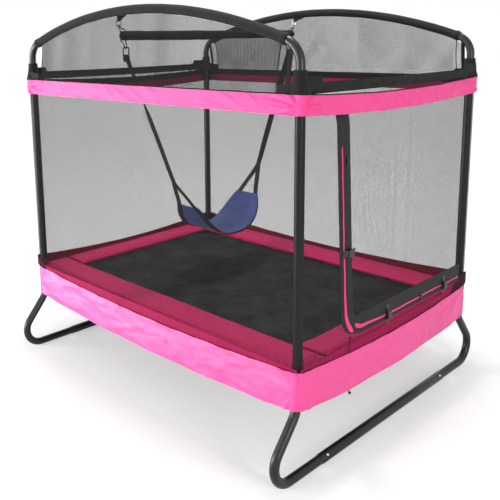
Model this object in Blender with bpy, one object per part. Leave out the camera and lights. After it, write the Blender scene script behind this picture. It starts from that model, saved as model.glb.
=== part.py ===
"""Rectangular garden trampoline for children, with a net enclosure, two arches and a sling swing.

Frame: X runs along the long side, Y across, +Z up. The origin is on the ground at the
centre of the footprint. The front long side faces -Y and the zip door is on the +X side.
Everything is in metres.
"""
import math

import bmesh
import bpy
from mathutils import Matrix, Vector

# ---------------------------------------------------------------- driving dimensions
POST_X = 0.880            # post axes, half spacing along the long side
POST_Y = 0.640            # post axes, half spacing along the short side
GAP = 0.0003              # gap between touching pieces
FIT = 0.0004              # least radial clearance of a tube in its socket

POST_R = 0.019            # enclosure posts and legs
ARCH_R = 0.017            # arch tubes, plugged into the posts
RAIL_R = 0.016            # frame rails
WALL = 0.0018             # wall of the socket tubes
SOCKET_SIDES = 12

RAIL_Z = 0.417            # height of the rail axes
SOCKET_UP = 0.058         # vertical socket, above the rail axis
SOCKET_DOWN = 0.052       # vertical socket, below the rail axis
SOCKET_ARM = 0.075        # horizontal socket, from the post axis
POST_TOP = 1.500
ARCH_PLUG = 0.060         # how far the arch tube reaches into the post

LEG_SPREAD = 0.131        # how far a leg swings out beyond its post
LEG_LEAN = math.radians(40.0)
LEG_UPPER_BEND = 0.120    # bend radius where the leg leaves the vertical
LEG_LOWER_BEND = 0.085    # bend radius at the ground
CROSS_R = 0.021           # middle tube on the ground, over the leg ends
CROSS_HALF = 0.490
LEG_PLUG = 0.060          # how far a leg reaches into the middle tube
BUTTON_R = 0.004          # snap button that holds a leg in the middle tube
BUTTON_INSET = 0.030      # from the middle tube's end

ARCH_RISE = 0.300         # from the posts' top to the arch's axis at its crown
CROWN_RADIUS = 2.500
ELBOW_RADIUS = 0.090
SLEEVE_R = 0.0205         # fabric sleeve over the crown
SLEEVE_BORE = 0.0183
SLEEVE_END = 0.822        # sleeve reaches this far each way
CROWN_STEPS = 10          # straight facets along the crown
TAB_W = 0.044             # sewn tab under the sleeve, for the swing's hook
TAB_T = 0.0034
TAB_SHIFT = 0.008         # the hook hangs off the tab's middle
TAB_BELOW = 0.0085        # from the hook's wire to the tab's lower edge

MAT_X = 0.765             # jumping mat, half sizes
MAT_Y = 0.497
MAT_TOP = 0.4372
MAT_T = 0.0018
HEM_W = 0.032             # webbing hem under the mat's edge
HEM_T = 0.0032
BOUNCE_STEP_X = 7         # lacing loops on a long side
BOUNCE_STEP_Y = 4         # lacing loops on a short side
LACE_R = 0.002
LACE_MARGIN = 0.035       # bare length of the mat's edge at a corner

PAD_X = 0.745             # inner edge of the safety pad, half sizes
PAD_Y = 0.475
PAD_BOTTOM = 0.4395
PAD_T = 0.021
PAD_CROWN = 0.005
PAD_CLEAR = 0.0005        # between a pad's outer edge and the net
NOTCH = 0.080             # square corner cut out of a pad for the socket
NOTCH_CLEAR = 0.0015

NET_OUT = 0.0225          # from the post axis to the inner face of the net
NET_T = 0.002
NET_DROP = 0.025          # the net's top, below the posts' top
STRAND = 0.008            # width of a net strand
HEM_EDGE = 0.014          # bound edge of a net panel
SKIRT_TOP = 0.457         # top of the skirt at the corners
SKIRT_SAG = 0.036         # how much it sinks at mid side
SKIRT_H = 0.155
SKIRT_T = 0.0024
SKIRT_CORNER = 0.008      # corner radius of the skirt
FOLD_DEPTH = 0.0045       # half depth of the skirt's folds at its lower edge
BAND_H = 0.056            # sewn band at the bottom of the net
BAND_T = 0.0016
BELT_H = 0.072            # belt round the top of the net
BELT_T = 0.0026
BELT_SAG = 0.022          # how much it sinks on the short sides
BAND_CORNER = 0.0009      # corner radius of the belt and the band
HALF_MOON_X = 0.795       # half width of the net under an arch

TRIM_T = 0.0026           # dark top hem of the short sides
TRIM_H = 0.040
TRIM_RISE = 0.077         # how far it climbs the posts above the net

SWING_X = -0.150          # the swing hangs a little left of the middle
TAB_INSET = 0.016         # tabs and hooks, inside the arches
PIVOT_DROP = 0.034        # swing axis in the tabs, below the arch's axis
HOOK_WIRE = 0.0026
HOOK_W = 0.013            # half width of the hook's ring
HOOK_H = 0.030            # height of the ring, between wire axes
CORD_R = 0.0026
BAR_R = 0.019
BAR_INSET = 0.012         # ends of the bar, inside the hooks
BAR_DROP = 0.0715         # bar axis below the swing axis
HOLE_INSET = 0.024        # cord hole and strap ring, inside the bar's end
RING_DROP = 0.1215        # top wire of the strap ring, below the swing axis
RING_HALF = 0.020
RING_H = 0.040
RING_WIRE = 0.0028
STRAP_W = 0.026
STRAP_T = 0.0028
FORK_Y = 0.317            # where the strap forks, from the middle
FORK_Z = 0.975
SEAT_Y = 0.228            # gathered ends of the seat
SEAT_END_Z = 0.832
SEAT_Z = 0.672            # underside of the straps below the seat's middle
SEAT_END_HALF = 0.070     # half widths of the seat at its ends and its middle
SEAT_MID_HALF = 0.128
SEAT_T = 0.0032

# ---------------------------------------------------------------- derived sizes
NET_X = POST_X + NET_OUT
NET_Y = POST_Y + NET_OUT
LAYER_X = NET_X + NET_T + GAP          # inner face of what is sewn outside the net
LAYER_Y = NET_Y + NET_T + GAP
LEG_RUN_Z = CROSS_R
ARCH_TOP = POST_TOP + ARCH_RISE
NET_TOP = POST_TOP - NET_DROP
BELT_Z = NET_TOP - BELT_H / 2
SWING_Y = POST_Y - TAB_INSET
SWING_CROWN_Z = ARCH_TOP - CROWN_RADIUS + math.sqrt(CROWN_RADIUS ** 2 - SWING_X ** 2)
PIVOT_Z = SWING_CROWN_Z - PIVOT_DROP
BAR_HALF = SWING_Y - BAR_INSET
RING_Y = BAR_HALF - HOLE_INSET
RING_Z = PIVOT_Z - RING_DROP


def bore(radius, sides):
    """Corner radius of a faceted bore that clears a tube of this radius."""
    return (radius + FIT) / math.cos(math.pi / sides)


def clear_scene():
    for ob in list(bpy.data.objects):
        bpy.data.objects.remove(ob, do_unlink=True)


PALETTE = {
    "steel": ((0.018, 0.018, 0.019), 0.38, 0.55),
    "socket": ((0.022, 0.022, 0.023), 0.45, 0.50),
    "sleeve": ((0.026, 0.026, 0.028), 0.85, 0.0),
    "mat": ((0.017, 0.017, 0.018), 0.80, 0.0),
    "hem": ((0.014, 0.014, 0.015), 0.85, 0.0),
    "lace": ((0.05, 0.05, 0.055), 0.80, 0.0),
    "pad": ((0.62, 0.018, 0.14), 0.55, 0.0),
    "skirt": ((0.95, 0.16, 0.52), 0.60, 0.0),
    "net": ((0.045, 0.045, 0.048), 0.85, 0.0),
    "band": ((0.20, 0.008, 0.035), 0.80, 0.0),
    "belt": ((0.95, 0.14, 0.50), 0.60, 0.0),
    "trim": ((0.016, 0.016, 0.017), 0.85, 0.0),
    "zip": ((0.015, 0.015, 0.016), 0.80, 0.0),
    "buckle": ((0.02, 0.02, 0.021), 0.45, 0.0),
    "metal": ((0.60, 0.60, 0.62), 0.30, 1.0),
    "strap": ((0.015, 0.015, 0.016), 0.85, 0.0),
    "bar": ((0.020, 0.020, 0.022), 0.80, 0.0),
    "seat": ((0.035, 0.055, 0.21), 0.80, 0.0),
}


def paint(ob, look):
    color, rough, metal = PALETTE[look]
    mat = bpy.data.materials.new(ob.name + "_material")
    mat.use_nodes = True
    node = mat.node_tree.nodes["Principled BSDF"]
    node.inputs["Base Color"].default_value = (*color, 1.0)
    node.inputs["Roughness"].default_value = rough
    node.inputs["Metallic"].default_value = metal
    ob.data.materials.clear()
    ob.data.materials.append(mat)


def link(name, data, look=None, loc=(0, 0, 0), turn=0.0):
    ob = bpy.data.objects.new(name, data)
    bpy.context.scene.collection.objects.link(ob)
    ob.location = loc
    ob.rotation_euler = (0, 0, turn)
    if look:
        paint(ob, look)
    return ob


def face_out(bm):
    """Make the faces agree, and point them out of the solid."""
    bmesh.ops.recalc_face_normals(bm, faces=bm.faces)
    if bm.calc_volume(signed=True) < 0:
        bmesh.ops.reverse_faces(bm, faces=bm.faces)


def to_mesh(name, bm, smooth=True):
    me = bpy.data.meshes.new(name)
    face_out(bm)
    bm.to_mesh(me)
    bm.free()
    if smooth:
        me.shade_smooth()
        me.set_sharp_from_angle(angle=math.radians(35))
    return me


def rings_mesh(name, rings, closed=False, smooth=True):
    """A solid from rings of points; open paths get an end face at each end."""
    bm = bmesh.new()
    rows = [[bm.verts.new(p) for p in ring] for ring in rings]
    n = len(rows[0])
    count = len(rows) if closed else len(rows) - 1
    for i in range(count):
        a, b = rows[i], rows[(i + 1) % len(rows)]
        for j in range(n):
            k = (j + 1) % n
            bm.faces.new((a[j], a[k], b[k], b[j]))
    if not closed:
        bm.faces.new(list(reversed(rows[0])))
        bm.faces.new(rows[-1])
    return to_mesh(name, bm, smooth)


def pipe_mesh(name, stations, outer, inner, sides):
    """A tube with a bore: stations are (centre, across, up) frames along its axis."""
    bm = bmesh.new()
    rows = []
    for centre, across, up in stations:
        for r in (outer, inner):
            row = []
            for j in range(sides):
                t = 2 * math.pi * (j + 0.5) / sides
                row.append(bm.verts.new(centre + across * (r * math.cos(t)) + up * (r * math.sin(t))))
            rows.append(row)
    for i in range(len(stations) - 1):
        for part, flip in ((0, False), (1, True)):
            a, b = rows[2 * i + part], rows[2 * i + 2 + part]
            for j in range(sides):
                k = (j + 1) % sides
                quad = (a[j], a[k], b[k], b[j])
                bm.faces.new(tuple(reversed(quad)) if flip else quad)
    for outer_row, inner_row in ((rows[0], rows[1]), (rows[-2], rows[-1])):
        for j in range(sides):
            k = (j + 1) % sides
            bm.faces.new((outer_row[j], outer_row[k], inner_row[k], inner_row[j]))
    return to_mesh(name, bm)


def curve_tube(name, pts, radius, resolution, cyclic=False):
    cu = bpy.data.curves.new(name, "CURVE")
    cu.dimensions = "3D"
    cu.bevel_depth = radius
    cu.bevel_resolution = resolution
    cu.use_fill_caps = not cyclic
    cu.render_resolution_u = 0
    spline = cu.splines.new("POLY")
    spline.points.add(len(pts) - 1)
    for point, p in zip(spline.points, pts):
        point.co = (p[0], p[1], p[2], 1.0)
    spline.use_cyclic_u = cyclic
    spline.use_smooth = True
    return cu


def cylinder(name, radius, length, sides, centre, axis):
    """A plain cylinder mesh object, used as stock and as a cutter."""
    bm = bmesh.new()
    bmesh.ops.create_cone(bm, cap_ends=True, segments=sides, radius1=radius,
                          radius2=radius, depth=length)
    half_side = math.pi / sides
    turn = Matrix.Rotation(half_side, 4, "Z")
    turn = Vector((0, 0, 1)).rotation_difference(Vector(axis)).to_matrix().to_4x4() @ turn
    bm.transform(Matrix.Translation(Vector(centre)) @ turn)
    return link(name, to_mesh(name, bm))


def block(name, size, centre, bevel=0.0, turn=None):
    bm = bmesh.new()
    bmesh.ops.create_cube(bm, size=1.0)
    bm.transform(Matrix.Diagonal((*size, 1.0)))
    if bevel:
        bmesh.ops.bevel(bm, geom=list(bm.edges), offset=bevel, segments=1, affect="EDGES")
    if turn:
        bm.transform(turn.to_4x4())
    bm.transform(Matrix.Translation(Vector(centre)))
    return link(name, to_mesh(name, bm, smooth=False))


def join_shapes(ob, others, operation):
    """Boolean the helper objects into ob and keep the result as ob's own mesh."""
    for other in others:
        mod = ob.modifiers.new("bool", "BOOLEAN")
        mod.operation = operation
        mod.solver = "EXACT"
        mod.object = other
    deps = bpy.context.evaluated_depsgraph_get()
    me = bpy.data.meshes.new_from_object(ob.evaluated_get(deps))
    ob.modifiers.clear()
    ob.data = me
    for other in others:
        bpy.data.objects.remove(other, do_unlink=True)
    bm = bmesh.new()
    bm.from_mesh(me)
    bmesh.ops.remove_doubles(bm, verts=bm.verts, dist=0.00002)
    bmesh.ops.dissolve_limit(bm, angle_limit=math.radians(0.5), verts=bm.verts, edges=bm.edges)
    face_out(bm)
    bm.to_mesh(me)
    bm.free()
    me.shade_smooth()
    me.set_sharp_from_angle(angle=math.radians(35))
    return ob


def arc(cy, cz, radius, start, end, steps):
    """Points (y, z) on an arc, from start to end in radians."""
    out = []
    for i in range(steps + 1):
        t = start + (end - start) * i / steps
        out.append((cy + radius * math.cos(t), cz + radius * math.sin(t)))
    return out


# ---------------------------------------------------------------- steel frame
def corner_socket_mesh():
    """Welded corner socket of the (+X, +Y) corner, its post axis on the origin."""
    post_bore = bore(POST_R, SOCKET_SIDES)
    arm_bore = bore(RAIL_R, SOCKET_SIDES)
    height = SOCKET_UP + SOCKET_DOWN
    mid = (SOCKET_UP - SOCKET_DOWN) / 2
    body = cylinder("socket_body", post_bore + WALL, height, SOCKET_SIDES, (0, 0, mid), (0, 0, 1))
    adds, cuts = [], []
    for i, axis in enumerate(((-1, 0, 0), (0, -1, 0))):
        direction = Vector(axis)
        adds.append(cylinder("arm", arm_bore + WALL, SOCKET_ARM, SOCKET_SIDES,
                             direction * SOCKET_ARM / 2, axis))
        start = post_bore + WALL + 0.0005
        length = SOCKET_ARM - start + 0.01
        cuts.append(cylinder("arm_bore", arm_bore, length, SOCKET_SIDES,
                             direction * (start + length / 2), axis))
    cuts.append(cylinder("post_bore", post_bore, height + 0.02, SOCKET_SIDES, (0, 0, mid), (0, 0, 1)))
    join_shapes(body, adds, "UNION")
    join_shapes(body, cuts, "DIFFERENCE")
    me = body.data
    bpy.data.objects.remove(body, do_unlink=True)
    return me


def leg_points():
    """Axis of a leg in (y, z), the post axis at y = 0, leaning out towards +y."""
    run_y = LEG_SPREAD - LEG_LOWER_BEND
    centre_z = LEG_RUN_Z + LEG_LOWER_BEND
    low_y = run_y + LEG_LOWER_BEND * math.cos(LEG_LEAN)
    low_z = centre_z + LEG_LOWER_BEND * math.sin(LEG_LEAN)
    out_y = LEG_UPPER_BEND * (1 - math.cos(LEG_LEAN))
    straight = (low_y - out_y) / math.sin(LEG_LEAN)
    knee_z = low_z + straight * math.cos(LEG_LEAN) + LEG_UPPER_BEND * math.sin(LEG_LEAN)
    pts = [(0.0, RAIL_Z + 0.004)]
    pts += arc(LEG_UPPER_BEND, knee_z, LEG_UPPER_BEND, math.pi, math.pi + LEG_LEAN, 4)
    pts += arc(run_y, centre_z, LEG_LOWER_BEND, LEG_LEAN, -math.pi / 2, 8)
    pts.append((CROSS_HALF - LEG_PLUG - POST_Y, LEG_RUN_Z))
    return pts


def build_frame():
    socket = corner_socket_mesh()
    leg = curve_tube("leg", [(0, y, z) for y, z in leg_points()], POST_R, 3)
    post = pipe_mesh("post", [(Vector((0, 0, z)), Vector((1, 0, 0)), Vector((0, 1, 0)))
                              for z in (RAIL_Z + 0.006, POST_TOP)], POST_R, bore(ARCH_R, 12), 12)
    corners = (("back_right", 1, 1, 0.0), ("back_left", -1, 1, 90.0),
               ("front_left", -1, -1, 180.0), ("front_right", 1, -1, 270.0))
    for name, sx, sy, turn in corners:
        where = (sx * POST_X, sy * POST_Y, 0)
        ob = link("corner_socket_" + name, socket, None, (where[0], where[1], RAIL_Z),
                  math.radians(turn))
        ob.data = socket.copy()
        paint(ob, "socket")
        ob = link("post_" + name, post.copy(), "steel", where)
        ob = link("leg_bend_" + name, leg.copy(), "steel", where, 0.0 if sy > 0 else math.pi)
    inset = bore(POST_R, SOCKET_SIDES) + WALL + 0.0010
    for side, sy in (("front", -1), ("back", 1)):
        half = POST_X - inset
        rail = cylinder("long_rail_" + side, RAIL_R, 2 * half, 12, (0, 0, 0), (1, 0, 0))
        rail.location = (0, sy * POST_Y, RAIL_Z)
        paint(rail, "steel")
    for side, sx in (("left", -1), ("right", 1)):
        half = POST_Y - inset
        rail = cylinder("short_rail_" + side, RAIL_R, 2 * half, 12, (0, 0, 0), (0, 1, 0))
        rail.location = (sx * POST_X, 0, RAIL_Z)
        paint(rail, "steel")
        across, up = Vector((1, 0, 0)), Vector((0, 0, 1))
        tube = link("leg_cross_" + side, pipe_mesh("cross", [
            (Vector((0, -CROSS_HALF, 0)), across, up), (Vector((0, CROSS_HALF, 0)), across, up)],
            CROSS_R / math.cos(math.pi / 12), bore(POST_R, 12), 12))
        buttons = [cylinder("button", BUTTON_R, 0.006, 8,
                            (0, s * (CROSS_HALF - BUTTON_INSET), CROSS_R + 0.0012), (0, 0, 1))
                   for s in (-1, 1)]
        join_shapes(tube, buttons, "UNION")
        tube.location = (sx * POST_X, 0, LEG_RUN_Z)
        paint(tube, "steel")


# ---------------------------------------------------------------- arches
def crown_z(x):
    """Height of the crown's axis at x, along the straight facets between its stations."""
    stations = [centre for centre, across, up in crown_stations(SLEEVE_END, CROWN_STEPS)]
    for a, b in zip(stations, stations[1:]):
        if x <= b.x or b is stations[-1]:
            return a.z + (b.z - a.z) * (x - a.x) / (b.x - a.x)


def elbow_start():
    """Where the crown's arc meets the elbow, as (x, slope angle)."""
    lean = math.asin((POST_X - ELBOW_RADIUS) / (CROWN_RADIUS - ELBOW_RADIUS))
    return CROWN_RADIUS * math.sin(lean), lean


def crown_stations(reach, steps):
    out = []
    for i in range(steps + 1):
        lean = math.asin(reach / CROWN_RADIUS) * (2 * i / steps - 1)
        centre = Vector((CROWN_RADIUS * math.sin(lean), 0,
                         ARCH_TOP - CROWN_RADIUS * (1 - math.cos(lean))))
        out.append((centre, Vector((0, 1, 0)), Vector((math.sin(lean), 0, math.cos(lean)))))
    return out


def arch_points():
    start_x, lean = elbow_start()
    cx = POST_X - ELBOW_RADIUS
    cz = ARCH_TOP - CROWN_RADIUS + (CROWN_RADIUS - ELBOW_RADIUS) * math.cos(lean)
    right = arc(cx, cz, ELBOW_RADIUS, math.pi / 2 - lean, 0.0, 6)
    right.append((POST_X, POST_TOP - ARCH_PLUG))
    left = [(-x, z) for x, z in reversed(right)]
    stations = [centre for centre, across, up in crown_stations(SLEEVE_END, CROWN_STEPS)]
    crown = [(c.x, c.z) for c in stations if abs(c.x) < start_x - 0.01]
    return [(x, 0, z) for x, z in left + crown + right]


def build_arches():
    tube = curve_tube("arch", arch_points(), ARCH_R, 3)
    for side, sy in (("front", -1), ("back", 1)):
        link("arch_tube_" + side, tube.copy(), "steel", (0, sy * POST_Y, 0))
        sleeve = link("arch_sleeve_" + side, pipe_mesh(
            "sleeve", crown_stations(SLEEVE_END, CROWN_STEPS), SLEEVE_R, SLEEVE_BORE, 10))
        # sewn tab for the swing's hook, in the plane of the arch on its inner side
        tab_y = -sy * TAB_INSET
        wall_mid = (SLEEVE_R + SLEEVE_BORE) / 2
        top = crown_z(SWING_X) - math.sqrt(wall_mid ** 2 - tab_y ** 2)
        low = PIVOT_Z - TAB_BELOW
        tab = block("tab", (TAB_W, TAB_T, top - low), (SWING_X + TAB_SHIFT, tab_y, (top + low) / 2))
        join_shapes(sleeve, [tab], "UNION")
        eye = cylinder("eye", HOOK_WIRE + 0.0006, 0.02, 12, (SWING_X, tab_y, PIVOT_Z), (0, 1, 0))
        join_shapes(sleeve, [eye], "DIFFERENCE")
        sleeve.location = (0, sy * POST_Y, 0)
        paint(sleeve, "sleeve")


# ---------------------------------------------------------------- jumping mat and its lacing
def build_mat():
    mat = block("jump_mat", (2 * MAT_X, 2 * MAT_Y, MAT_T), (0, 0, 0))
    mat.location = (0, 0, MAT_TOP - MAT_T / 2)
    paint(mat, "mat")
    outer = [(MAT_X, MAT_Y), (-MAT_X, MAT_Y), (-MAT_X, -MAT_Y), (MAT_X, -MAT_Y)]
    rings = []
    for x, y in outer:
        sx, sy = math.copysign(HEM_W, x), math.copysign(HEM_W, y)
        rings.append([(x, y, 0), (x, y, -HEM_T), (x - sx, y - sy, -HEM_T), (x - sx, y - sy, 0)])
    hem = link("mat_hem", rings_mesh("hem", rings, closed=True, smooth=False), "hem")
    hem.location = (0, 0, MAT_TOP - MAT_T - GAP)


def lacing_points():
    """One elastic cord that goes from the mat's edge round the rails, all the way round."""
    wrap = (RAIL_R + GAP + LACE_R) / math.cos(math.radians(22.5)) + 0.0001
    in_z = MAT_TOP - MAT_T - 0.0022 - RAIL_Z
    out = []
    sides = ((0, MAT_X, POST_Y, MAT_Y, BOUNCE_STEP_X), (90, MAT_Y, POST_X, MAT_X, BOUNCE_STEP_Y),
             (180, MAT_X, POST_Y, MAT_Y, BOUNCE_STEP_X), (270, MAT_Y, POST_X, MAT_X, BOUNCE_STEP_Y))
    for turn, half, rail, edge, loops in sides:
        turn_m = Matrix.Rotation(math.radians(turn), 3, "Z")
        span = 2 * (half - LACE_MARGIN) / loops
        near = edge + GAP + LACE_R + 0.0001
        for i in range(loops):
            x0 = -(half - LACE_MARGIN) + span * (i + 0.08)
            x1 = x0 + span * 0.84
            mid = (x0 + x1) / 2
            loop = [(x0, near, in_z)]
            for j, t in enumerate((101.0, 56.0, 11.0, -34.0, -79.0, -124.0)):
                t = math.radians(t)
                loop.append((mid - 0.010 + 0.004 * j, rail + wrap * math.cos(t), wrap * math.sin(t)))
            loop.append((x1, near, in_z))
            for p in loop:
                out.append(turn_m @ Vector((p[0], -p[1], p[2] + RAIL_Z)))
        corner = half + GAP + LACE_R + 0.0001
        out.append(turn_m @ Vector((corner, -near, in_z + RAIL_Z)))
    return out


def build_lacing():
    link("elastic_lacing", curve_tube("lacing", lacing_points(), LACE_R, 0, cyclic=True), "lace")


# ---------------------------------------------------------------- pads, skirt, band and belt
def pad_section(inner, outer, crown):
    """Cross section of a pad from its inner to its outer edge, as (across, height)."""
    w = outer - inner
    r = 0.005
    return [(inner + r, 0), (outer, 0), (outer, PAD_T - r), (outer - r, PAD_T),
            (outer - 0.3 * w, PAD_T + crown), (inner + 0.35 * w, PAD_T + crown),
            (inner + 2 * r, PAD_T - 0.001), (inner, PAD_T - 2 * r), (inner, r)]


def pad_mesh(name, length, inner, outer, steps=8):
    rings = []
    for i in range(steps + 1):
        s = -1 + 2 * i / steps
        x = s * length
        fall = 0.25 + 0.75 * (1 - s ** 6)
        ripple = 0.0012 * math.sin(9.0 * s)
        rings.append([(x, -a, h) for a, h in pad_section(inner, outer, PAD_CROWN * fall + ripple)])
    return rings_mesh(name, rings)


def build_pads():
    edge_y = NET_Y - PAD_CLEAR
    edge_x = NET_X - PAD_CLEAR
    cut = bore(POST_R, SOCKET_SIDES) + WALL + NOTCH_CLEAR
    notch_x, notch_y = POST_X - cut + NOTCH / 2, POST_Y - cut + NOTCH / 2
    for side, turn in (("front", 0.0), ("back", math.pi)):
        pad = link("pad_" + side, pad_mesh("pad", edge_x, PAD_Y, edge_y))
        notches = [block("post_notch", (NOTCH, NOTCH, 0.2), (s * notch_x, -notch_y, 0))
                   for s in (-1, 1)]
        join_shapes(pad, notches, "DIFFERENCE")
        pad.location = (0, 0, PAD_BOTTOM)
        pad.rotation_euler = (0, 0, turn)
        paint(pad, "pad")
    for side, turn in (("right", math.pi / 2), ("left", -math.pi / 2)):
        mesh = pad_mesh("pad", PAD_Y - GAP, PAD_X, edge_x, 6)
        link("pad_" + side, mesh, "pad", (0, 0, PAD_BOTTOM), turn)


def side_path(half_len, half_dep, radius, stations):
    """Half corner, straight side, half corner along y = -half_dep: (x, y, nx, ny)."""
    corners = []
    for sign in (-1, 1):
        part = []
        for i in range(3):
            t = math.radians(22.5 * i)
            nx, ny = sign * math.sin(t), -math.cos(t)
            x, y = sign * (half_len - radius) + radius * nx, radius - half_dep + radius * ny
            part.append((x, y, nx, ny))
        # the last point is drawn back by the corner seam's gap
        x, y, nx, ny = part[-1]
        part[-1] = (x - sign * GAP, y, nx, ny)
        corners.append(part)
    out = list(reversed(corners[0]))
    for k in range(1, stations):
        s = -1 + 2 * k / stations
        out.append((s * (half_len - radius), -half_dep, 0.0, -1.0))
    return out + corners[1]


def sheet_mesh(name, grid, thickness, smooth=True):
    """A cloth from a grid of points, grown by its thickness along the outward side."""
    rows, cols = len(grid), len(grid[0])
    bm = bmesh.new()
    front = [[bm.verts.new(p) for p, n in row] for row in grid]
    back = [[bm.verts.new(p + n * thickness) for p, n in row] for row in grid]
    for i in range(rows - 1):
        for j in range(cols - 1):
            bm.faces.new((front[i][j], front[i][j + 1], front[i + 1][j + 1], front[i + 1][j]))
            bm.faces.new((back[i][j], back[i + 1][j], back[i + 1][j + 1], back[i][j + 1]))
    for i in range(rows - 1):
        for j in (0, cols - 1):
            bm.faces.new((front[i][j], front[i + 1][j], back[i + 1][j], back[i][j]))
    for j in range(cols - 1):
        for i in (0, rows - 1):
            bm.faces.new((front[i][j], back[i][j], back[i][j + 1], front[i][j + 1]))
    return to_mesh(name, bm, smooth)


def edge_sag(s):
    return SKIRT_SAG * (1 - s * s)


def skirt_mesh(half_len, half_dep, stations, folds):
    grid = []
    for x, y, nx, ny in side_path(half_len, half_dep, SKIRT_CORNER, stations):
        s = x / half_len
        top = SKIRT_TOP - edge_sag(s) - GAP
        column = []
        for k in range(3):
            v = k / 2
            wave = FOLD_DEPTH * (1 + math.sin(folds * math.pi * s + 0.8)) * v
            out = 0.003 * v + wave * (1 - abs(s) ** 8)
            normal = Vector((nx, ny, 0))
            column.append((Vector((x, y, top - v * SKIRT_H)) + normal * out, normal))
        grid.append(column)
    return sheet_mesh("skirt", grid, SKIRT_T)


def ring_path(half_x, half_y, radius, per_x, per_y):
    """Closed path round the four sides: (x, y, nx, ny, side, s)."""
    out = []
    sides = (("front", half_x, half_y, 0, per_x), ("right", half_y, half_x, 90, per_y),
             ("back", half_x, half_y, 180, per_x), ("left", half_y, half_x, 270, per_y))
    for side, length, depth, turn, n in sides:
        rot = Matrix.Rotation(math.radians(turn), 2)
        for k in range(n + 1):
            s = -1 + 2 * k / n
            p = rot @ Vector((s * (length - radius), -depth))
            nrm = rot @ Vector((0, -1))
            out.append((p.x, p.y, nrm.x, nrm.y, side, s))
        t = math.radians(45)
        nrm = rot @ Vector((math.sin(t), -math.cos(t)))
        centre = rot @ Vector((length - radius, -(depth - radius)))
        p = centre + nrm * radius
        out.append((p.x, p.y, nrm.x, nrm.y, side, 1.0))
    return out


def ring_band(name, half_x, half_y, thickness, edges, look, per_x=8, per_y=6):
    """A belt round the enclosure; edges(side, s) gives its lower and upper height."""
    rings = []
    for x, y, nx, ny, side, s in ring_path(half_x, half_y, BAND_CORNER, per_x, per_y):
        low, high = edges(side, s)
        ox, oy = x + nx * thickness, y + ny * thickness
        rings.append([(x, y, low), (ox, oy, low), (ox, oy, high), (x, y, high)])
    return link(name, rings_mesh(name, rings, closed=True), look)


def build_soft_rings():
    for side, turn in (("front", 0.0), ("back", math.pi)):
        link("skirt_" + side, skirt_mesh(LAYER_X, LAYER_Y, 20, 5), "skirt", (0, 0, 0), turn)
    for side, turn in (("right", math.pi / 2), ("left", -math.pi / 2)):
        link("skirt_" + side, skirt_mesh(LAYER_Y, LAYER_X, 16, 3), "skirt", (0, 0, 0), turn)

    def band_edges(side, s):
        low = SKIRT_TOP - edge_sag(s)
        return low, low + BAND_H

    def belt_edges(side, s):
        sag = BELT_SAG * (1 - s * s) if side in ("left", "right") else 0.0
        mid = BELT_Z - sag
        return mid - BELT_H / 2, mid + BELT_H / 2

    ring_band("net_bottom_band", LAYER_X, LAYER_Y, BAND_T, band_edges, "band")
    ring_band("top_belt", LAYER_X, LAYER_Y, BELT_T, belt_edges, "belt")


# ---------------------------------------------------------------- nets
def net_mesh(name, across, rows, place, edge_u, edge_v, strand_u, strand_v):
    """A net of across x rows gaps; place(u, v) gives (point, normal) for u, v in 0..1."""
    def lines(count, edge, strand):
        out = [0.0, edge]
        step = (1 - 2 * edge) / count
        for i in range(1, count):
            out += [edge + i * step - strand / 2, edge + i * step + strand / 2]
        return out + [1 - edge, 1.0]

    us, vs = lines(across, edge_u, strand_u), lines(rows, edge_v, strand_v)
    bm = bmesh.new()
    front, back = {}, {}
    for i, u in enumerate(us):
        for j, v in enumerate(vs):
            p, n = place(u, v)
            front[i, j] = bm.verts.new(p)
            back[i, j] = bm.verts.new(p + n * NET_T)

    def solid(i, j):
        inside = 0 <= i < len(us) - 1 and 0 <= j < len(vs) - 1
        return inside and not (i % 2 == 1 and j % 2 == 1)

    for i in range(len(us) - 1):
        for j in range(len(vs) - 1):
            if not solid(i, j):
                continue
            a, b, c, d = (i, j), (i + 1, j), (i + 1, j + 1), (i, j + 1)
            bm.faces.new((front[a], front[b], front[c], front[d]))
            bm.faces.new((back[d], back[c], back[b], back[a]))
            for (p, q), (oi, oj) in (((a, b), (i, j - 1)), ((b, c), (i + 1, j)),
                                     ((c, d), (i, j + 1)), ((d, a), (i - 1, j))):
                if not solid(oi, oj):
                    bm.faces.new((front[p], back[p], back[q], front[q]))
    return to_mesh(name, bm, smooth=False)


def flat_net(half_len, depth, top):
    """Panel in the plane y = -depth, from the sagging skirt line up to top."""
    def place(u, v):
        s = -1 + 2 * u
        low = SKIRT_TOP - edge_sag(s)
        return Vector((s * half_len, -depth, low + (top(s) - low) * v)), Vector((0, -1, 0))
    return place


def trim_low(s):
    return NET_TOP - 0.004 * (1 - s * s)


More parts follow.
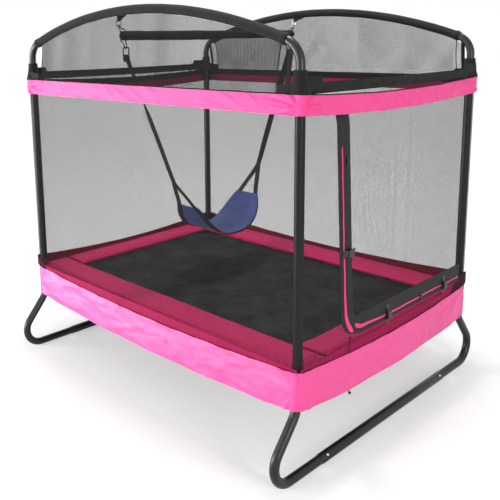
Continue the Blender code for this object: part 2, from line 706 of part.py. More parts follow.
def build_nets():
    wide, high = 2 * (NET_X + NET_T), NET_TOP - SKIRT_TOP
    for side, turn in (("front", 0.0), ("back", math.pi)):
        place = flat_net(NET_X + NET_T, NET_Y, lambda s: NET_TOP)
        me = net_mesh("net", 9, 5, place, HEM_EDGE / wide, HEM_EDGE / high,
                      STRAND / wide, STRAND / high)
        link("net_" + side, me, "net", (0, 0, 0), turn)
    wide = 2 * (NET_Y - GAP)
    for side, turn in (("right", math.pi / 2), ("left", -math.pi / 2)):
        place = flat_net(NET_Y - GAP, NET_X, lambda s: trim_low(s) - GAP)
        me = net_mesh("net", 7, 5, place, HEM_EDGE / wide, HEM_EDGE / high,
                      STRAND / wide, STRAND / high)
        link("net_" + side, me, "net", (0, 0, 0), turn)
    # half-moon nets fill the arches, from the belt up to the sleeves
    foot = NET_TOP + GAP
    for side, turn in (("front", 0.0), ("back", math.pi)):
        def place(u, v):
            x = (-1 + 2 * u) * HALF_MOON_X
            slope = math.asin(x / CROWN_RADIUS)
            arch_low = crown_z(x) - (SLEEVE_R + GAP) / math.cos(slope)
            lean = NET_OUT - (NET_OUT - NET_T / 2) * v
            return Vector((x, -POST_Y - lean, foot + (arch_low - foot) * v)), Vector((0, -1, 0))
        me = net_mesh("half_moon", 8, 2, place, 0.010, 0.06, 0.0045, 0.03)
        link("half_moon_net_" + side, me, "net", (0, 0, 0), turn)


def build_top_trims():
    """Dark hem along the top of each short side, with a collar round each post."""
    inner = bore(POST_R, 14)
    for side, turn in (("right", math.pi / 2), ("left", -math.pi / 2)):
        grid = []
        for k in range(17):
            s = -1 + 2 * k / 16
            rise = max(0.0, (abs(s) - 0.86) / 0.14)
            low = trim_low(s)
            high = low + TRIM_H + (TRIM_RISE - TRIM_H) * rise
            y = -NET_X + 0.0006
            x = s * (POST_Y + 0.012)
            grid.append([(Vector((x, y, z)), Vector((0, -1, 0))) for z in (low, high)])
        trim = link("top_trim_" + side, sheet_mesh("trim", grid, TRIM_T, smooth=False))
        tall = TRIM_RISE + 0.010
        mid = NET_TOP + 0.004 + tall / 2
        collars, bores = [], []
        for s in (-1, 1):
            where = (s * POST_Y, -POST_X, mid)
            collars.append(cylinder("collar", NET_OUT + TRIM_T + 0.0012, tall, 14, where, (0, 0, 1)))
            bores.append(cylinder("collar_bore", inner, tall + 0.04, 14, where, (0, 0, 1)))
        join_shapes(trim, collars, "UNION")
        join_shapes(trim, bores, "DIFFERENCE")
        trim.rotation_euler = (0, 0, turn)
        paint(trim, "trim")


# ---------------------------------------------------------------- zip door on the +X side
ZIP_TOP = 1.368
ZIP_Y_TOP = -0.402        # the side run leans a little
ZIP_BEND_Z = 0.620        # where the side run turns into the corner
ZIP_Y_LOW = -0.352
ZIP_BOTTOM = 0.5160
ZIP_Y_END = 0.575
SLIDER_SIDE_Z = 1.215
SLIDER_BOTTOM_Y = 0.206
BUCKLE_SIDE_Z = 0.852
BUCKLE_NEAR_Y = -0.070
BUCKLE_FAR_Y = 0.418
BUCKLE_REACH = 0.041      # half length of a buckle's strap
BUCKLE_ARCH = 0.0092      # the strap's rise over the zip
PULL_LENGTH = 0.033
PULL_W = 0.007
TAPE_HALF = 0.030
TAPE_T = 0.0016
RIDGE_HALF = 0.0035
RIDGE_T = 0.0022
ZIP_X = LAYER_X + BAND_T + GAP


def zip_centre():
    """Centre line of the zip in (y, z): down the side, round a corner, along the bottom."""
    pts = []
    for k in range(8):
        t = k / 7
        pts.append((ZIP_Y_TOP + (ZIP_Y_LOW - ZIP_Y_TOP) * t, ZIP_TOP - (ZIP_TOP - ZIP_BEND_Z) * t))
    radius = ZIP_BEND_Z - ZIP_BOTTOM
    for k in range(1, 5):
        t = math.radians(90 * k / 4)
        pts.append((ZIP_Y_LOW + radius * (1 - math.cos(t)), ZIP_BEND_Z - radius * math.sin(t)))
    for k in range(1, 8):
        pts.append((ZIP_Y_LOW + radius + (ZIP_Y_END - ZIP_Y_LOW - radius) * k / 7, ZIP_BOTTOM))
    return pts


def build_zip():
    pts = zip_centre()
    rings = []
    for i, (y, z) in enumerate(pts):
        y0, z0 = pts[max(i - 1, 0)]
        y1, z1 = pts[min(i + 1, len(pts) - 1)]
        t = Vector((y1 - y0, z1 - z0)).normalized()
        n = Vector((-t.y, t.x))
        ring = []
        for a, h in ((-TAPE_HALF, 0), (TAPE_HALF, 0), (TAPE_HALF, TAPE_T), (RIDGE_HALF, TAPE_T),
                     (RIDGE_HALF, TAPE_T + RIDGE_T), (-RIDGE_HALF, TAPE_T + RIDGE_T),
                     (-RIDGE_HALF, TAPE_T), (-TAPE_HALF, TAPE_T)):
            ring.append((h, y + n.x * a, z + n.y * a))
        rings.append(ring)
    tape = link("zip_tape", rings_mesh("tape", rings, smooth=False), "zip")
    tape.location = (ZIP_X, 0, 0)
    build_sliders()
    build_buckles()


def side_run(z):
    """Where the side run of the zip lies at a height."""
    return ZIP_Y_TOP + (ZIP_Y_LOW - ZIP_Y_TOP) * (ZIP_TOP - z) / (ZIP_TOP - ZIP_BEND_Z)


def build_sliders():
    lean = math.atan((ZIP_Y_LOW - ZIP_Y_TOP) / (ZIP_TOP - ZIP_BEND_Z))
    # a pull hangs down from its slider, along the side run and across the bottom run
    spots = (("zip_slider_side", side_run(SLIDER_SIDE_Z), SLIDER_SIDE_Z, lean, False),
             ("zip_slider_bottom", SLIDER_BOTTOM_Y, ZIP_BOTTOM, math.pi / 2, True))
    for name, y, z, turn, across in spots:
        body = block("slider", (0.0056, 0.0120, 0.0200), (0.0028, 0, 0), 0.0010)
        groove = block("groove", (0.0066, 2 * RIDGE_HALF + 0.0008, 0.04), (-0.0004, 0, 0))
        join_shapes(body, [groove], "DIFFERENCE")
        if across:
            tab = block("pull", (0.0020, PULL_LENGTH, PULL_W), (0.0062, -0.0120, 0), 0.0006)
        else:
            tab = block("pull", (0.0020, PULL_W, PULL_LENGTH), (0.0062, 0, -0.0120), 0.0006)
        join_shapes(body, [tab], "UNION")
        body.name = name
        body.location = (ZIP_X + TAPE_T + GAP, y, z)
        body.rotation_euler = (turn, 0, 0)
        paint(body, "metal")


def build_buckles():
    """Webbing straps with side-release buckles, which bridge the zip."""
    half = BUCKLE_REACH
    profile = ((-half, 0.0), (0.011 - half, 0.0), (0.024 - half, BUCKLE_ARCH),
               (half - 0.024, BUCKLE_ARCH), (half - 0.011, 0.0), (half, 0.0))
    places = (("buckle_side", side_run(BUCKLE_SIDE_Z), BUCKLE_SIDE_Z, 0.0),
              ("buckle_bottom_near", BUCKLE_NEAR_Y, ZIP_BOTTOM, math.pi / 2),
              ("buckle_bottom_far", BUCKLE_FAR_Y, ZIP_BOTTOM, math.pi / 2))
    for name, y, z, turn in places:
        grid = [[(Vector((h, a, z_edge)), Vector((1, 0, 0))) for z_edge in (-0.0115, 0.0115)]
                for a, h in profile]
        strap = link("strap_piece", sheet_mesh("strap", grid, 0.0018, smooth=False))
        box = block("buckle_box", (0.0075, 0.034, 0.029), (BUCKLE_ARCH + 0.0030, 0, 0), 0.0015)
        join_shapes(strap, [box], "UNION")
        strap.name = name
        strap.location = (ZIP_X + TAPE_T + GAP, y, z)
        strap.rotation_euler = (turn, 0, 0)
        paint(strap, "buckle")


# ---------------------------------------------------------------- swing
LOOP_R = RING_WIRE + GAP + STRAP_T / 2 + 0.0006


def strap_loop():
    """Top of a strap, (y, z) and its normal: a short tail, then round the ring's lower wire."""
    cz = RING_Z - RING_H
    tail = [((RING_Y + 0.0036, cz - 0.026), (-1.0, 0.05)), ((RING_Y + LOOP_R, cz - 0.006), (-1.0, 0.0))]
    for k in range(1, 6):
        t = math.pi * k / 6
        tail.append(((RING_Y + LOOP_R * math.cos(t), cz + LOOP_R * math.sin(t)),
                     (-math.cos(t), -math.sin(t))))
    tail.append(((RING_Y - LOOP_R, cz - 0.003), (1.0, 0.0)))
    return [(Vector(p), Vector(n)) for p, n in tail]


def swing_profile():
    """Half of the sling's path in (y, z), from the strap ring down to the middle of the seat."""
    top = Vector((RING_Y - LOOP_R - 0.004, RING_Z - RING_H - 0.022))
    fork, end = Vector((FORK_Y, FORK_Z)), Vector((SEAT_Y, SEAT_END_Z))
    key = [top.lerp(fork, t) for t in (0.0, 0.32, 0.73)]
    key += [fork.lerp(end, t) for t in (0.0, 0.62, 1.0)]
    for share in (0.83, 0.61, 0.33, 0.0):
        key.append(Vector((SEAT_Y * share, SEAT_Z + (SEAT_END_Z - SEAT_Z) * share ** 2.8)))
    return key


def smooth_profile(steps=3):
    """Catmull-Rom curve through the profile's points, level where the halves meet."""
    key = swing_profile()
    pts = [key[0]] + key + [Vector((-key[-2].x, key[-2].y))]
    out = []
    for i in range(1, len(pts) - 2):
        p0, p1, p2, p3 = pts[i - 1:i + 3]
        for k in range(steps):
            t = k / steps
            out.append(0.5 * ((2 * p1) + (p2 - p0) * t + (2 * p0 - 5 * p1 + 4 * p2 - p3) * t * t
                              + (3 * p1 - 3 * p2 + p3 - p0) * t ** 3))
    out.append(key[-1])
    return out


def profile_normals(pts):
    """Unit normals in (y, z), pointing up and in towards the sitter."""
    out = []
    for i, p in enumerate(pts):
        a = pts[max(i - 1, 0)]
        b = pts[min(i + 1, len(pts) - 1)] if i < len(pts) - 1 else Vector((-pts[-2].x, pts[-2].y))
        t = (b - a).normalized()
        out.append(Vector((t.y, -t.x)))
    return out


def seat_half(z):
    """Half width of the seat at a height: gathered at its ends, wide at the bottom."""
    t = min(1.0, max(0.0, (SEAT_END_Z - z) / (SEAT_END_Z - SEAT_Z)))
    return SEAT_END_HALF + (SEAT_MID_HALF - SEAT_END_HALF) * math.sin(t * math.pi / 2) ** 0.8


def fork_centre(z):
    """How far a fork leg's middle lies from the swing's middle plane."""
    if z >= SEAT_END_Z:
        t = (FORK_Z - z) / (FORK_Z - SEAT_END_Z)
        return t * (SEAT_END_HALF - STRAP_W / 2)
    return seat_half(z) - STRAP_W / 2


def strap_mesh(sign):
    """One webbing strap: a single band down to the fork, then two legs under the seat."""
    pts = smooth_profile()
    # the band's face turns over the ring, so the loop's normals run on into the profile's
    nrm = [-n for n in profile_normals(pts)]
    top = strap_loop()
    pts = [p for p, n in top] + pts
    nrm = [n for p, n in top] + nrm
    bm = bmesh.new()
    rows = []
    for i, p in enumerate(pts):
        half = STRAP_W / 2
        if i == len(pts) - 1:
            p = Vector((GAP, p.y))
        if p.y >= FORK_Z - 0.001:
            xs = [-half, 0.0, half]
        else:
            c = fork_centre(p.y)
            if c - half <= 0.001:
                xs = [-c - half, 0.0, c + half]
            else:
                xs = [-c - half, -c + half, c - half, c + half]
        row = []
        for side in (-1, 1):
            off = nrm[i] * (side * STRAP_T / 2)
            row.append([bm.verts.new((SWING_X + x, sign * (p.x + off.x), p.y + off.y)) for x in xs])
        rows.append(row)
    for i in range(len(rows) - 1):
        (a_out, a_in), (b_out, b_in) = rows[i], rows[i + 1]
        na, nb = len(a_out), len(b_out)
        if na == 3 and nb == 3:
            pairs = [((0, 1), (0, 1)), ((1, 2), (1, 2))]
            rims = [(0, 0), (2, 2)]
        elif na == 3 and nb == 4:
            pairs = [((0, 1), (0, 1)), ((1, 2), (2, 3))]
            rims = [(0, 0), (1, 1), (1, 2), (2, 3)]
        else:
            pairs = [((0, 1), (0, 1)), ((2, 3), (2, 3))]
            rims = [(0, 0), (1, 1), (2, 2), (3, 3)]
        for (p, q), (r, s) in pairs:
            bm.faces.new((a_out[p], a_out[q], b_out[s], b_out[r]))
            bm.faces.new((a_in[q], a_in[p], b_in[r], b_in[s]))
        for p, r in rims:
            bm.faces.new((a_out[p], b_out[r], b_in[r], a_in[p]))
    for row in (rows[0], rows[-1]):
        out, inn = row
        pairs = [(0, 1), (1, 2)] if len(out) == 3 else [(0, 1), (2, 3)]
        for p, q in pairs:
            bm.faces.new((out[p], inn[p], inn[q], out[q]))
    return to_mesh("strap", bm)


def seat_mesh():
    pts = smooth_profile()
    nrm = profile_normals(pts)
    lift = STRAP_T / 2 + GAP
    half = [(p, n) for p, n in zip(pts, nrm) if p.y <= SEAT_END_Z + 0.001]
    full = [(Vector((-p.x, p.y)), Vector((-n.x, n.y))) for p, n in half]
    full += list(reversed(half[:-1]))
    grid = []
    for p, n in full:
        w = seat_half(p.y)
        row = []
        for k in range(4):
            x = -w + 2 * w * k / 3
            base = p + n * lift
            row.append((Vector((SWING_X + x, base.x, base.y)), Vector((0, n.x, n.y))))
        grid.append(row)
    return sheet_mesh("seat", grid, SEAT_T)


def oval(half_w, height, steps):
    """Closed rounded loop, its top wire at z = 0 and its foot at -height: (across, z)."""
    out = []
    for cz, start in ((-half_w, 0.0), (-height + half_w, math.pi)):
        for k in range(steps + 1):
            t = start + math.pi * k / steps
            out.append((half_w * math.cos(t), cz + half_w * math.sin(t)))
    return out


def ring_outline(half, height, cut):
    """Rectangular ring with cut corners, its top wire at z = 0: (across, z)."""
    right = [(half - cut, 0.0), (half, -cut), (half, cut - height), (half - cut, -height)]
    return right + [(-x, z) for x, z in reversed(right)]


def cord_loop(sign):
    """Closed cord: over the hook's foot, either side of the bar's end, under the ring's top wire."""
    top_z = PIVOT_Z - HOOK_H
    bight = HOOK_WIRE + CORD_R + 0.0006
    low = RING_WIRE + CORD_R + 0.0006
    outer, inner = BAR_HALF + CORD_R + 0.0008, BAR_HALF - HOLE_INSET
    bar_z = PIVOT_Z - BAR_DROP
    pts = []
    for k in range(5):
        t = math.pi * k / 4
        pts.append((bight * math.cos(t), SWING_Y, top_z + bight * math.sin(t)))
    pts.append((-bight * 0.75, SWING_Y - 0.003, top_z - 0.008))
    pts.append((0.0, outer, bar_z + BAR_R + 0.0005))
    pts.append((0.0, outer, bar_z - BAR_R))
    pts.append((0.0, RING_Y + low + 0.006, RING_Z + 0.014))
    for k in range(5):
        t = -math.pi * k / 4
        pts.append((0.0, RING_Y + low * math.cos(t), RING_Z + low * math.sin(t)))
    pts.append((0.0, inner, bar_z - BAR_R - 0.002))
    pts.append((0.0, inner, bar_z + BAR_R + 0.004))
    pts.append((bight * 0.75, SWING_Y - 0.010, top_z - 0.008))
    return [(SWING_X + x, sign * y, z) for x, y, z in pts]


def hang(ob, pivot):
    ob.parent = pivot
    ob.matrix_parent_inverse = pivot.matrix_world.inverted()


def build_swing():
    pivot = bpy.data.objects.new("swing_pivot", None)
    bpy.context.scene.collection.objects.link(pivot)
    pivot.location = (SWING_X, 0, PIVOT_Z)
    bpy.context.view_layer.update()
    for side, sign in (("front", -1), ("back", 1)):
        loop = [(SWING_X, sign * SWING_Y + y, PIVOT_Z + z) for y, z in oval(HOOK_W, HOOK_H, 6)]
        hang(link("swing_hook_" + side, curve_tube("hook", loop, HOOK_WIRE, 1, True), "metal"), pivot)
        cord = curve_tube("cord", cord_loop(sign), CORD_R, 1, True)
        hang(link("swing_cord_" + side, cord, "strap"), pivot)
        loop = [(SWING_X + x, sign * RING_Y, RING_Z + z) for x, z in ring_outline(RING_HALF, RING_H, 0.006)]
        hang(link("strap_ring_" + side, curve_tube("ring", loop, RING_WIRE, 1, True), "buckle"), pivot)
        hang(link("swing_strap_" + side, strap_mesh(sign), "strap"), pivot)
    bar = cylinder("spreader_bar", BAR_R, 2 * BAR_HALF, 14, (0, 0, 0), (0, 1, 0))
    holes = [cylinder("hole", CORD_R + 0.0012, 0.1, 10, (0, s * (BAR_HALF - HOLE_INSET), 0), (0, 0, 1))
             for s in (-1, 1)]
    join_shapes(bar, holes, "DIFFERENCE")
    bar.location = (SWING_X, 0, PIVOT_Z - BAR_DROP)
    paint(bar, "bar")
    bpy.context.view_layer.update()
    hang(bar, pivot)
    hang(link("swing_seat", seat_mesh(), "seat"), pivot)


def main():
    clear_scene()
    build_frame()
    build_arches()
    build_mat()
    build_lacing()
    build_pads()
    build_soft_rings()
    build_nets()
    build_top_trims()
    build_zip()
    build_swing()


main()
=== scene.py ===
"""Looks of a children's trampoline with a net enclosure, two arches and a sling swing.

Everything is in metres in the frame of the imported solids: X along the long side, Y across, +Z up,
the zip door on +X. Soft goods, nets, webbing, cords and tubes are built here over the solids.
"""
from math import asin, atan2, copysign, cos, dist, exp, hypot, pi, radians, sin, sqrt, tan

import bmesh
import bpy
from mathutils import Matrix, Vector, noise


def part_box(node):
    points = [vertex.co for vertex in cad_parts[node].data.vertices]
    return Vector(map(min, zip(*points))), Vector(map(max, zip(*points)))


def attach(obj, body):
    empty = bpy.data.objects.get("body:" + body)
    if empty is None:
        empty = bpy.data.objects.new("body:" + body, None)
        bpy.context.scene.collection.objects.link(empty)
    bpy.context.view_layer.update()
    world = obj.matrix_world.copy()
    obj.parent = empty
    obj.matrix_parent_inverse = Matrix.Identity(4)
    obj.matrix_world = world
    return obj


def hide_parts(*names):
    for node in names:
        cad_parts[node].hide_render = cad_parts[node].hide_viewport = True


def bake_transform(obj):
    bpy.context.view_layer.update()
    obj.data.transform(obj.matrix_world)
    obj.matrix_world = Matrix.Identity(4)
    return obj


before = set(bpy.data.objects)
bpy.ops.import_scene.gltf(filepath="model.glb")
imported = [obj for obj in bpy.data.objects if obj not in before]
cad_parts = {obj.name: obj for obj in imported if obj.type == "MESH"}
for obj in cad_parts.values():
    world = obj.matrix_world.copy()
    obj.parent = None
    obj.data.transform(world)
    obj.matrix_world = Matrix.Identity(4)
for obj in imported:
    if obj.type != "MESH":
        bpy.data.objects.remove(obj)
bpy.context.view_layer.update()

X, Y, Z = Vector((1, 0, 0)), Vector((0, 1, 0)), Vector((0, 0, 1))


# ---------------------------------------------------------------- sizes
def middle(name):
    low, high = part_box(name)
    return (low + high) / 2


POST_X, POST_Y = middle("post_back_right").xy
POST_LOW, POST_TOP = (corner.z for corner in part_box("post_back_right"))
RAIL_Z = middle("long_rail_front").z
NET_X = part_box("net_right")[0].x               # inner faces of the nets
NET_Y = -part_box("net_front")[1].y
NET_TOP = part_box("net_front")[1].z
MAT_X, MAT_Y, MAT_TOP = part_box("jump_mat")[1]
MAT_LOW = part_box("jump_mat")[0].z
SWING_X = middle("spreader_bar").x
SWING_Y = middle("swing_hook_back").y
BAR_Z = middle("spreader_bar").z
BAR_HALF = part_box("spreader_bar")[1].y
RING_Y = middle("strap_ring_back").y

POST_R, ARCH_R, RAIL_R, CROSS_R = 0.019, 0.017, 0.016, 0.021
WALL_T = 0.0018                  # wall of the posts and of the legs' middle tubes
NET_T = 0.002
GAP = 0.0003
LAYER = NET_T + GAP              # what is sewn outside a net starts this far out

CORNERS = {"back_right": (1, 1), "back_left": (-1, 1), "front_left": (-1, -1), "front_right": (1, -1)}
LEG_SPREAD = 0.131
LEG_LEAN = radians(40.0)
LEG_UPPER_BEND, LEG_LOWER_BEND = 0.120, 0.085
CROSS_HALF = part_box("leg_cross_left")[1].y
BUTTON_INSET = 0.030
BUTTON_TURN = radians(48.0)
# Small turned parts, as (radius, height).
BUTTON = ((0.0052, -0.0016), (0.0052, 0.0002), (0.0046, 0.0007), (0.0040, 0.0007), (0.0040, 0.0022),
          (0.0033, 0.0032), (0.0020, 0.0038), (0.0005, 0.0040))
BOLT = ((0.0050, -0.0030), (0.0050, 0.0006), (0.0044, 0.0016), (0.0030, 0.0022), (0.0018, 0.0022),
        (0.0016, 0.0010), (0.0004, 0.0009))

ARCH_TOP = POST_TOP + 0.300
CROWN_RADIUS, ELBOW_RADIUS = 2.500, 0.090
SLEEVE_R, SLEEVE_END = 0.0205, 0.822

NET_PITCH = 0.0034
NET_STRAND = 0.00071
NET_BEND = 0.022                 # the nets turn the corners round the posts at this radius
HEM_STRAND = 0.0005
HEM_END = 0.988                  # share of a side that its doubled net covers
SHORT_NET_DROP = 0.0043          # the short sides' nets end this far below the long ones'
HALF_MOON_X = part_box("half_moon_net_front")[1].x
MOON_TAPE_X = 0.840              # dark tape between the half-moon net and the post
MOON_TAPE_W = 0.018
# Where each half-moon net's first end hangs: pulled in at the front, with no tape, and out at the back.
MOON_EDGE = {"front": HALF_MOON_X - 0.022, "back": HALF_MOON_X + 0.014}
MOON_STRAND = 0.00140
MOON_FOOT = NET_TOP + GAP
MOON_BOW = 0.007                 # how far the half-moon nets' free edges are drawn in

SKIRT_TOP, SKIRT_SAG, SKIRT_H, SKIRT_T = 0.457, 0.036, 0.155, 0.0024
SKIRT_RADIUS = 0.030
BAND_H = 0.056
APRON_TOP, APRON_H = 0.466, 0.034
BELT_H, BELT_T, BELT_SAG = 0.072, 0.0026, 0.022
TRIM_H, TRIM_RISE = 0.040, 0.077
PATCH_W, PATCH_H = 0.078, 0.036
COLLAR_W, COLLAR_H = 0.16, TRIM_RISE + 0.006
HOOK_TAB = (0.055, 0.045)
# Corner tabs: width, height, the power of the curve they narrow by, share of the cut they cover.
TAB = (0.085, 0.050, 1, 0.52)
BIG_TAB = (0.150, 0.062, 3, 0.80)
TIE_Y = -0.345

HEM_W = 0.032                    # webbing round the mat
LACE_R, LACE_MARGIN = 0.002, 0.035
PAD_VOXEL = 0.0075
PAD_CAP = 0.006                  # how far a pad's skin may move as it swells
PAD_PRESS = 0.0045               # how far the short pads press on the long ones

HOOK_WIRE, HOOK_W, HOOK_H = 0.0026, 0.013, 0.030
CORD_R = 0.0026
BAR_R = 0.019
RING_WIRE, RING_HALF, RING_H, RING_CORNER = 0.0028, 0.020, 0.040, 0.006
PIVOT_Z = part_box("swing_hook_back")[1].z - HOOK_WIRE
RING_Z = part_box("strap_ring_back")[1].z - RING_WIRE
STRAP_W, STRAP_T = 0.026, 0.0028
LOOP_R = RING_WIRE + GAP + STRAP_T / 2 + 0.0006
FORK_Y, FORK_Z = 0.317, 0.975
SEAT_Y, SEAT_END_Z, SEAT_Z = 0.228, 0.832, 0.672
SEAT_END_HALF, SEAT_MID_HALF, SEAT_T = 0.070, 0.128, 0.0032

ZIP_TOP, ZIP_BEND_Z, ZIP_BOTTOM = 1.368, 0.620, 0.516
ZIP_Y_TOP, ZIP_Y_LOW, ZIP_Y_END = -0.402, -0.352, 0.575
ZIP_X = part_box("zip_tape")[0].x
TAPE_W, TAPE_T = 0.045, 0.0016
TOOTH, TOOTH_PITCH = (0.0016, 0.0040, 0.0019), 0.0034
BORDER_SIDE = (0.058, 0.022)      # dark border beside the upright zip: outside and inside it
BORDER_FOOT = (0.024, 0.064)      # and beside the level one
# Stretches of the door's pink edge, each from (y, z) to (y, z).
PINK_RUNS = (((-0.40, 1.275), (-0.36, 0.862)), ((-0.36, 0.842), (-0.33, 0.530)),
             ((-0.32, 0.516), (-0.080, 0.516)), ((-0.060, 0.516), (0.408, 0.516)),
             ((0.428, 0.516), (0.572, 0.516)))

# ---------------------------------------------------------------- camera, light and floor
CAMERA_AT = Vector((2.349, -2.540, 1.667))
CAMERA_YAW, CAMERA_PITCH, CAMERA_ROLL = 0.819, 0.178, -0.018
CAMERA_LENS = 49.48
CAMERA_SHIFT = (0.120, -0.173)
# Name, place, aim, width and watts.
LAMPS = (("key", (-0.4, -5.2, 2.1), (0, 0, 0.7), 1.6, 80),
         ("gloss", (-3.6, -4.4, 0.65), (0, 0, 0.5), 1.4, 310),
         ("top", (-0.1, -0.1, 5.4), (0, 0, 0.4), 0.7, 205),
         ("side", (4.9, -1.6, 1.9), (0, 0, 0.8), 1.6, 100))
WORLD_FILL = 0.50
FLOOR_GREY = 0.50
# The floor's glow towards the eye: the distances each lift starts and ends at, and what it adds.
FLOOR_LIFTS = ((-1.0, 0.0, 0.45), (0.95, 1.50, 0.21), (1.60, 4.50, 0.12))
WHITE = (1, 1, 1, 1)


def add_to_scene(name, data):
    ob = bpy.data.objects.new(name, data)
    bpy.context.scene.collection.objects.link(ob)
    return ob


def make_camera():
    forward = Vector((-sin(CAMERA_YAW) * cos(CAMERA_PITCH),
                      cos(CAMERA_YAW) * cos(CAMERA_PITCH), -sin(CAMERA_PITCH)))
    level = Vector((cos(CAMERA_YAW), sin(CAMERA_YAW), 0))
    up = level.cross(forward)
    right = cos(CAMERA_ROLL) * level + sin(CAMERA_ROLL) * up
    up = cos(CAMERA_ROLL) * up - sin(CAMERA_ROLL) * level
    camera = bpy.data.cameras.new("camera")
    camera.lens = CAMERA_LENS
    camera.sensor_width = 36.0
    camera.shift_x, camera.shift_y = CAMERA_SHIFT
    ob = add_to_scene("camera", camera)
    ob.matrix_world = Matrix.Translation(CAMERA_AT) @ Matrix((right, up, -forward)).transposed().to_4x4()
    bpy.context.scene.camera = ob


def make_lamps():
    for name, at, aim, size, watts in LAMPS:
        lamp = bpy.data.lights.new(name, "AREA")
        lamp.shape = "DISK"
        lamp.size, lamp.energy = size, watts
        ob = add_to_scene(name, lamp)
        ob.location = at
        ob.rotation_euler = (Vector(aim) - Vector(at)).to_track_quat("-Z", "Y").to_euler()


def node(tree, kind, inputs=(), **settings):
    """New shader node. Each input, by place or by name, is a value or a socket to link from."""
    made = tree.nodes.new("ShaderNode" + kind)
    for key, value in settings.items():
        setattr(made, key, value)
    for key, value in inputs.items() if isinstance(inputs, dict) else enumerate(inputs):
        if isinstance(value, bpy.types.NodeSocket):
            tree.links.new(value, made.inputs[key])
        else:
            made.inputs[key].default_value = value
    return made


def seen_directly(tree):
    """1 where the camera, a reflection or glass looks straight at the surface."""
    path = node(tree, "LightPath").outputs
    total = path["Is Camera Ray"]
    for ray in ("Is Glossy Ray", "Is Transmission Ray"):
        total = node(tree, "Math", (total, path[ray]), operation="MAXIMUM").outputs[0]
    return total


def make_world():
    world = bpy.data.worlds.new("studio")
    bpy.context.scene.world = world
    world.use_nodes = True
    tree = world.node_tree
    white = tree.nodes["Background"]
    white.inputs["Color"].default_value = WHITE
    soft = node(tree, "Background", {"Color": WHITE, "Strength": WORLD_FILL})
    mix = node(tree, "MixShader", (seen_directly(tree), soft.outputs[0], white.outputs[0]))
    tree.links.new(mix.outputs[0], tree.nodes["World Output"].inputs["Surface"])


def make_floor():
    """Pale floor: its glow towards the eye grows away from the object, where the lamps fade."""
    bpy.ops.mesh.primitive_plane_add(size=60)
    floor = bpy.context.object
    floor.name = "floor"
    mat = bpy.data.materials.new("floor")
    mat.use_nodes = True
    tree = mat.node_tree
    tree.nodes.remove(tree.nodes["Principled BSDF"])
    matte = node(tree, "BsdfDiffuse", {"Color": (FLOOR_GREY, FLOOR_GREY, FLOOR_GREY, 1)})
    place = node(tree, "TexCoord").outputs["Object"]
    away = node(tree, "VectorMath", (place,), operation="LENGTH").outputs["Value"]
    total = 0.0
    for start, end, grow in FLOOR_LIFTS:
        lift = node(tree, "MapRange", (away, start, end, 0.0, grow)).outputs[0]
        total = node(tree, "Math", (lift, total), operation="ADD").outputs[0]
    seen = node(tree, "Math", (seen_directly(tree), total), operation="MULTIPLY").outputs[0]
    glow = node(tree, "Emission", {"Color": WHITE, "Strength": seen})
    both = node(tree, "AddShader", (matte.outputs[0], glow.outputs[0]))
    tree.links.new(both.outputs[0], tree.nodes["Material Output"].inputs["Surface"])
    floor.data.materials.append(mat)


# ---------------------------------------------------------------- materials
class Look:
    """A Principled material: constant values on its own sockets, patterns and bumps from nodes."""

    def __init__(self, name, color, rough, metal=0.0, sheen=0.0, specular=0.5, uv=True):
        self.mat = bpy.data.materials.new(name)
        self.mat.use_nodes = True
        self.tree = self.mat.node_tree
        self.bsdf = self.tree.nodes["Principled BSDF"]
        self.color = Vector(color)
        for socket, value in (("Base Color", (*color, 1)), ("Roughness", rough), ("Metallic", metal),
                              ("Sheen Weight", sheen), ("Specular IOR Level", specular)):
            self.bsdf.inputs[socket].default_value = value
        self.normal = None
        self.place = self.add("TexCoord").outputs["Object"]
        flat = self.add("UVMap", uv_map="cloth").outputs[0] if uv else self.place
        self.u, self.v = self.add("SeparateXYZ", (flat,)).outputs[:2]

    def add(self, kind, inputs=(), **settings):
        return node(self.tree, kind, inputs, **settings)

    def math(self, operation, a, b=0.0):
        return self.add("Math", (a, b), operation=operation).outputs[0]

    def noise(self, scale, detail=3.0, stretch=(1, 1, 1)):
        spread = self.add("Mapping", {"Vector": self.place, "Scale": stretch}).outputs[0]
        return self.add("TexNoise", {"Vector": spread, "Scale": scale, "Detail": detail}).outputs[0]

    def wave(self, along, pitch):
        """A sine of that pitch along a coordinate in metres, from -1 to 1."""
        return self.math("SINE", self.math("MULTIPLY", along, 2 * pi / pitch))

    def weave(self, pitch):
        """Height of a plain weave: threads that cross over and under each other."""
        return self.math("MULTIPLY", self.wave(self.u, pitch), self.wave(self.v, pitch))

    def bump(self, height, distance, strength):
        inputs = {"Distance": distance, "Strength": strength, "Height": height}
        if self.normal:
            inputs["Normal"] = self.normal
        self.normal = self.add("Bump", inputs).outputs[0]
        self.tree.links.new(self.normal, self.bsdf.inputs["Normal"])

    def shade(self, factor, dark, light):
        """Colour that runs from dark to light times the base colour as factor goes from 0 to 1."""
        brightest = (*[min(c, 1.0) for c in self.color * light], 1)
        mix = self.add("Mix", {0: factor, 6: (*(self.color * dark), 1), 7: brightest}, data_type="RGBA")
        self.tree.links.new(mix.outputs[2], self.bsdf.inputs["Base Color"])

    def contrast(self, factor, low, high):
        """Stretch what lies between low and high to 0 to 1."""
        return self.add("MapRange", (factor, low, high)).outputs[0]

    def vary_rough(self, factor, low, high):
        span = self.math("MULTIPLY", factor, high - low)
        self.tree.links.new(self.math("ADD", span, low), self.bsdf.inputs["Roughness"])

    def mean(self, *factors):
        total = factors[0]
        for factor in factors[1:]:
            total = self.math("ADD", total, factor)
        return self.math("MULTIPLY", total, 1.0 / len(factors))


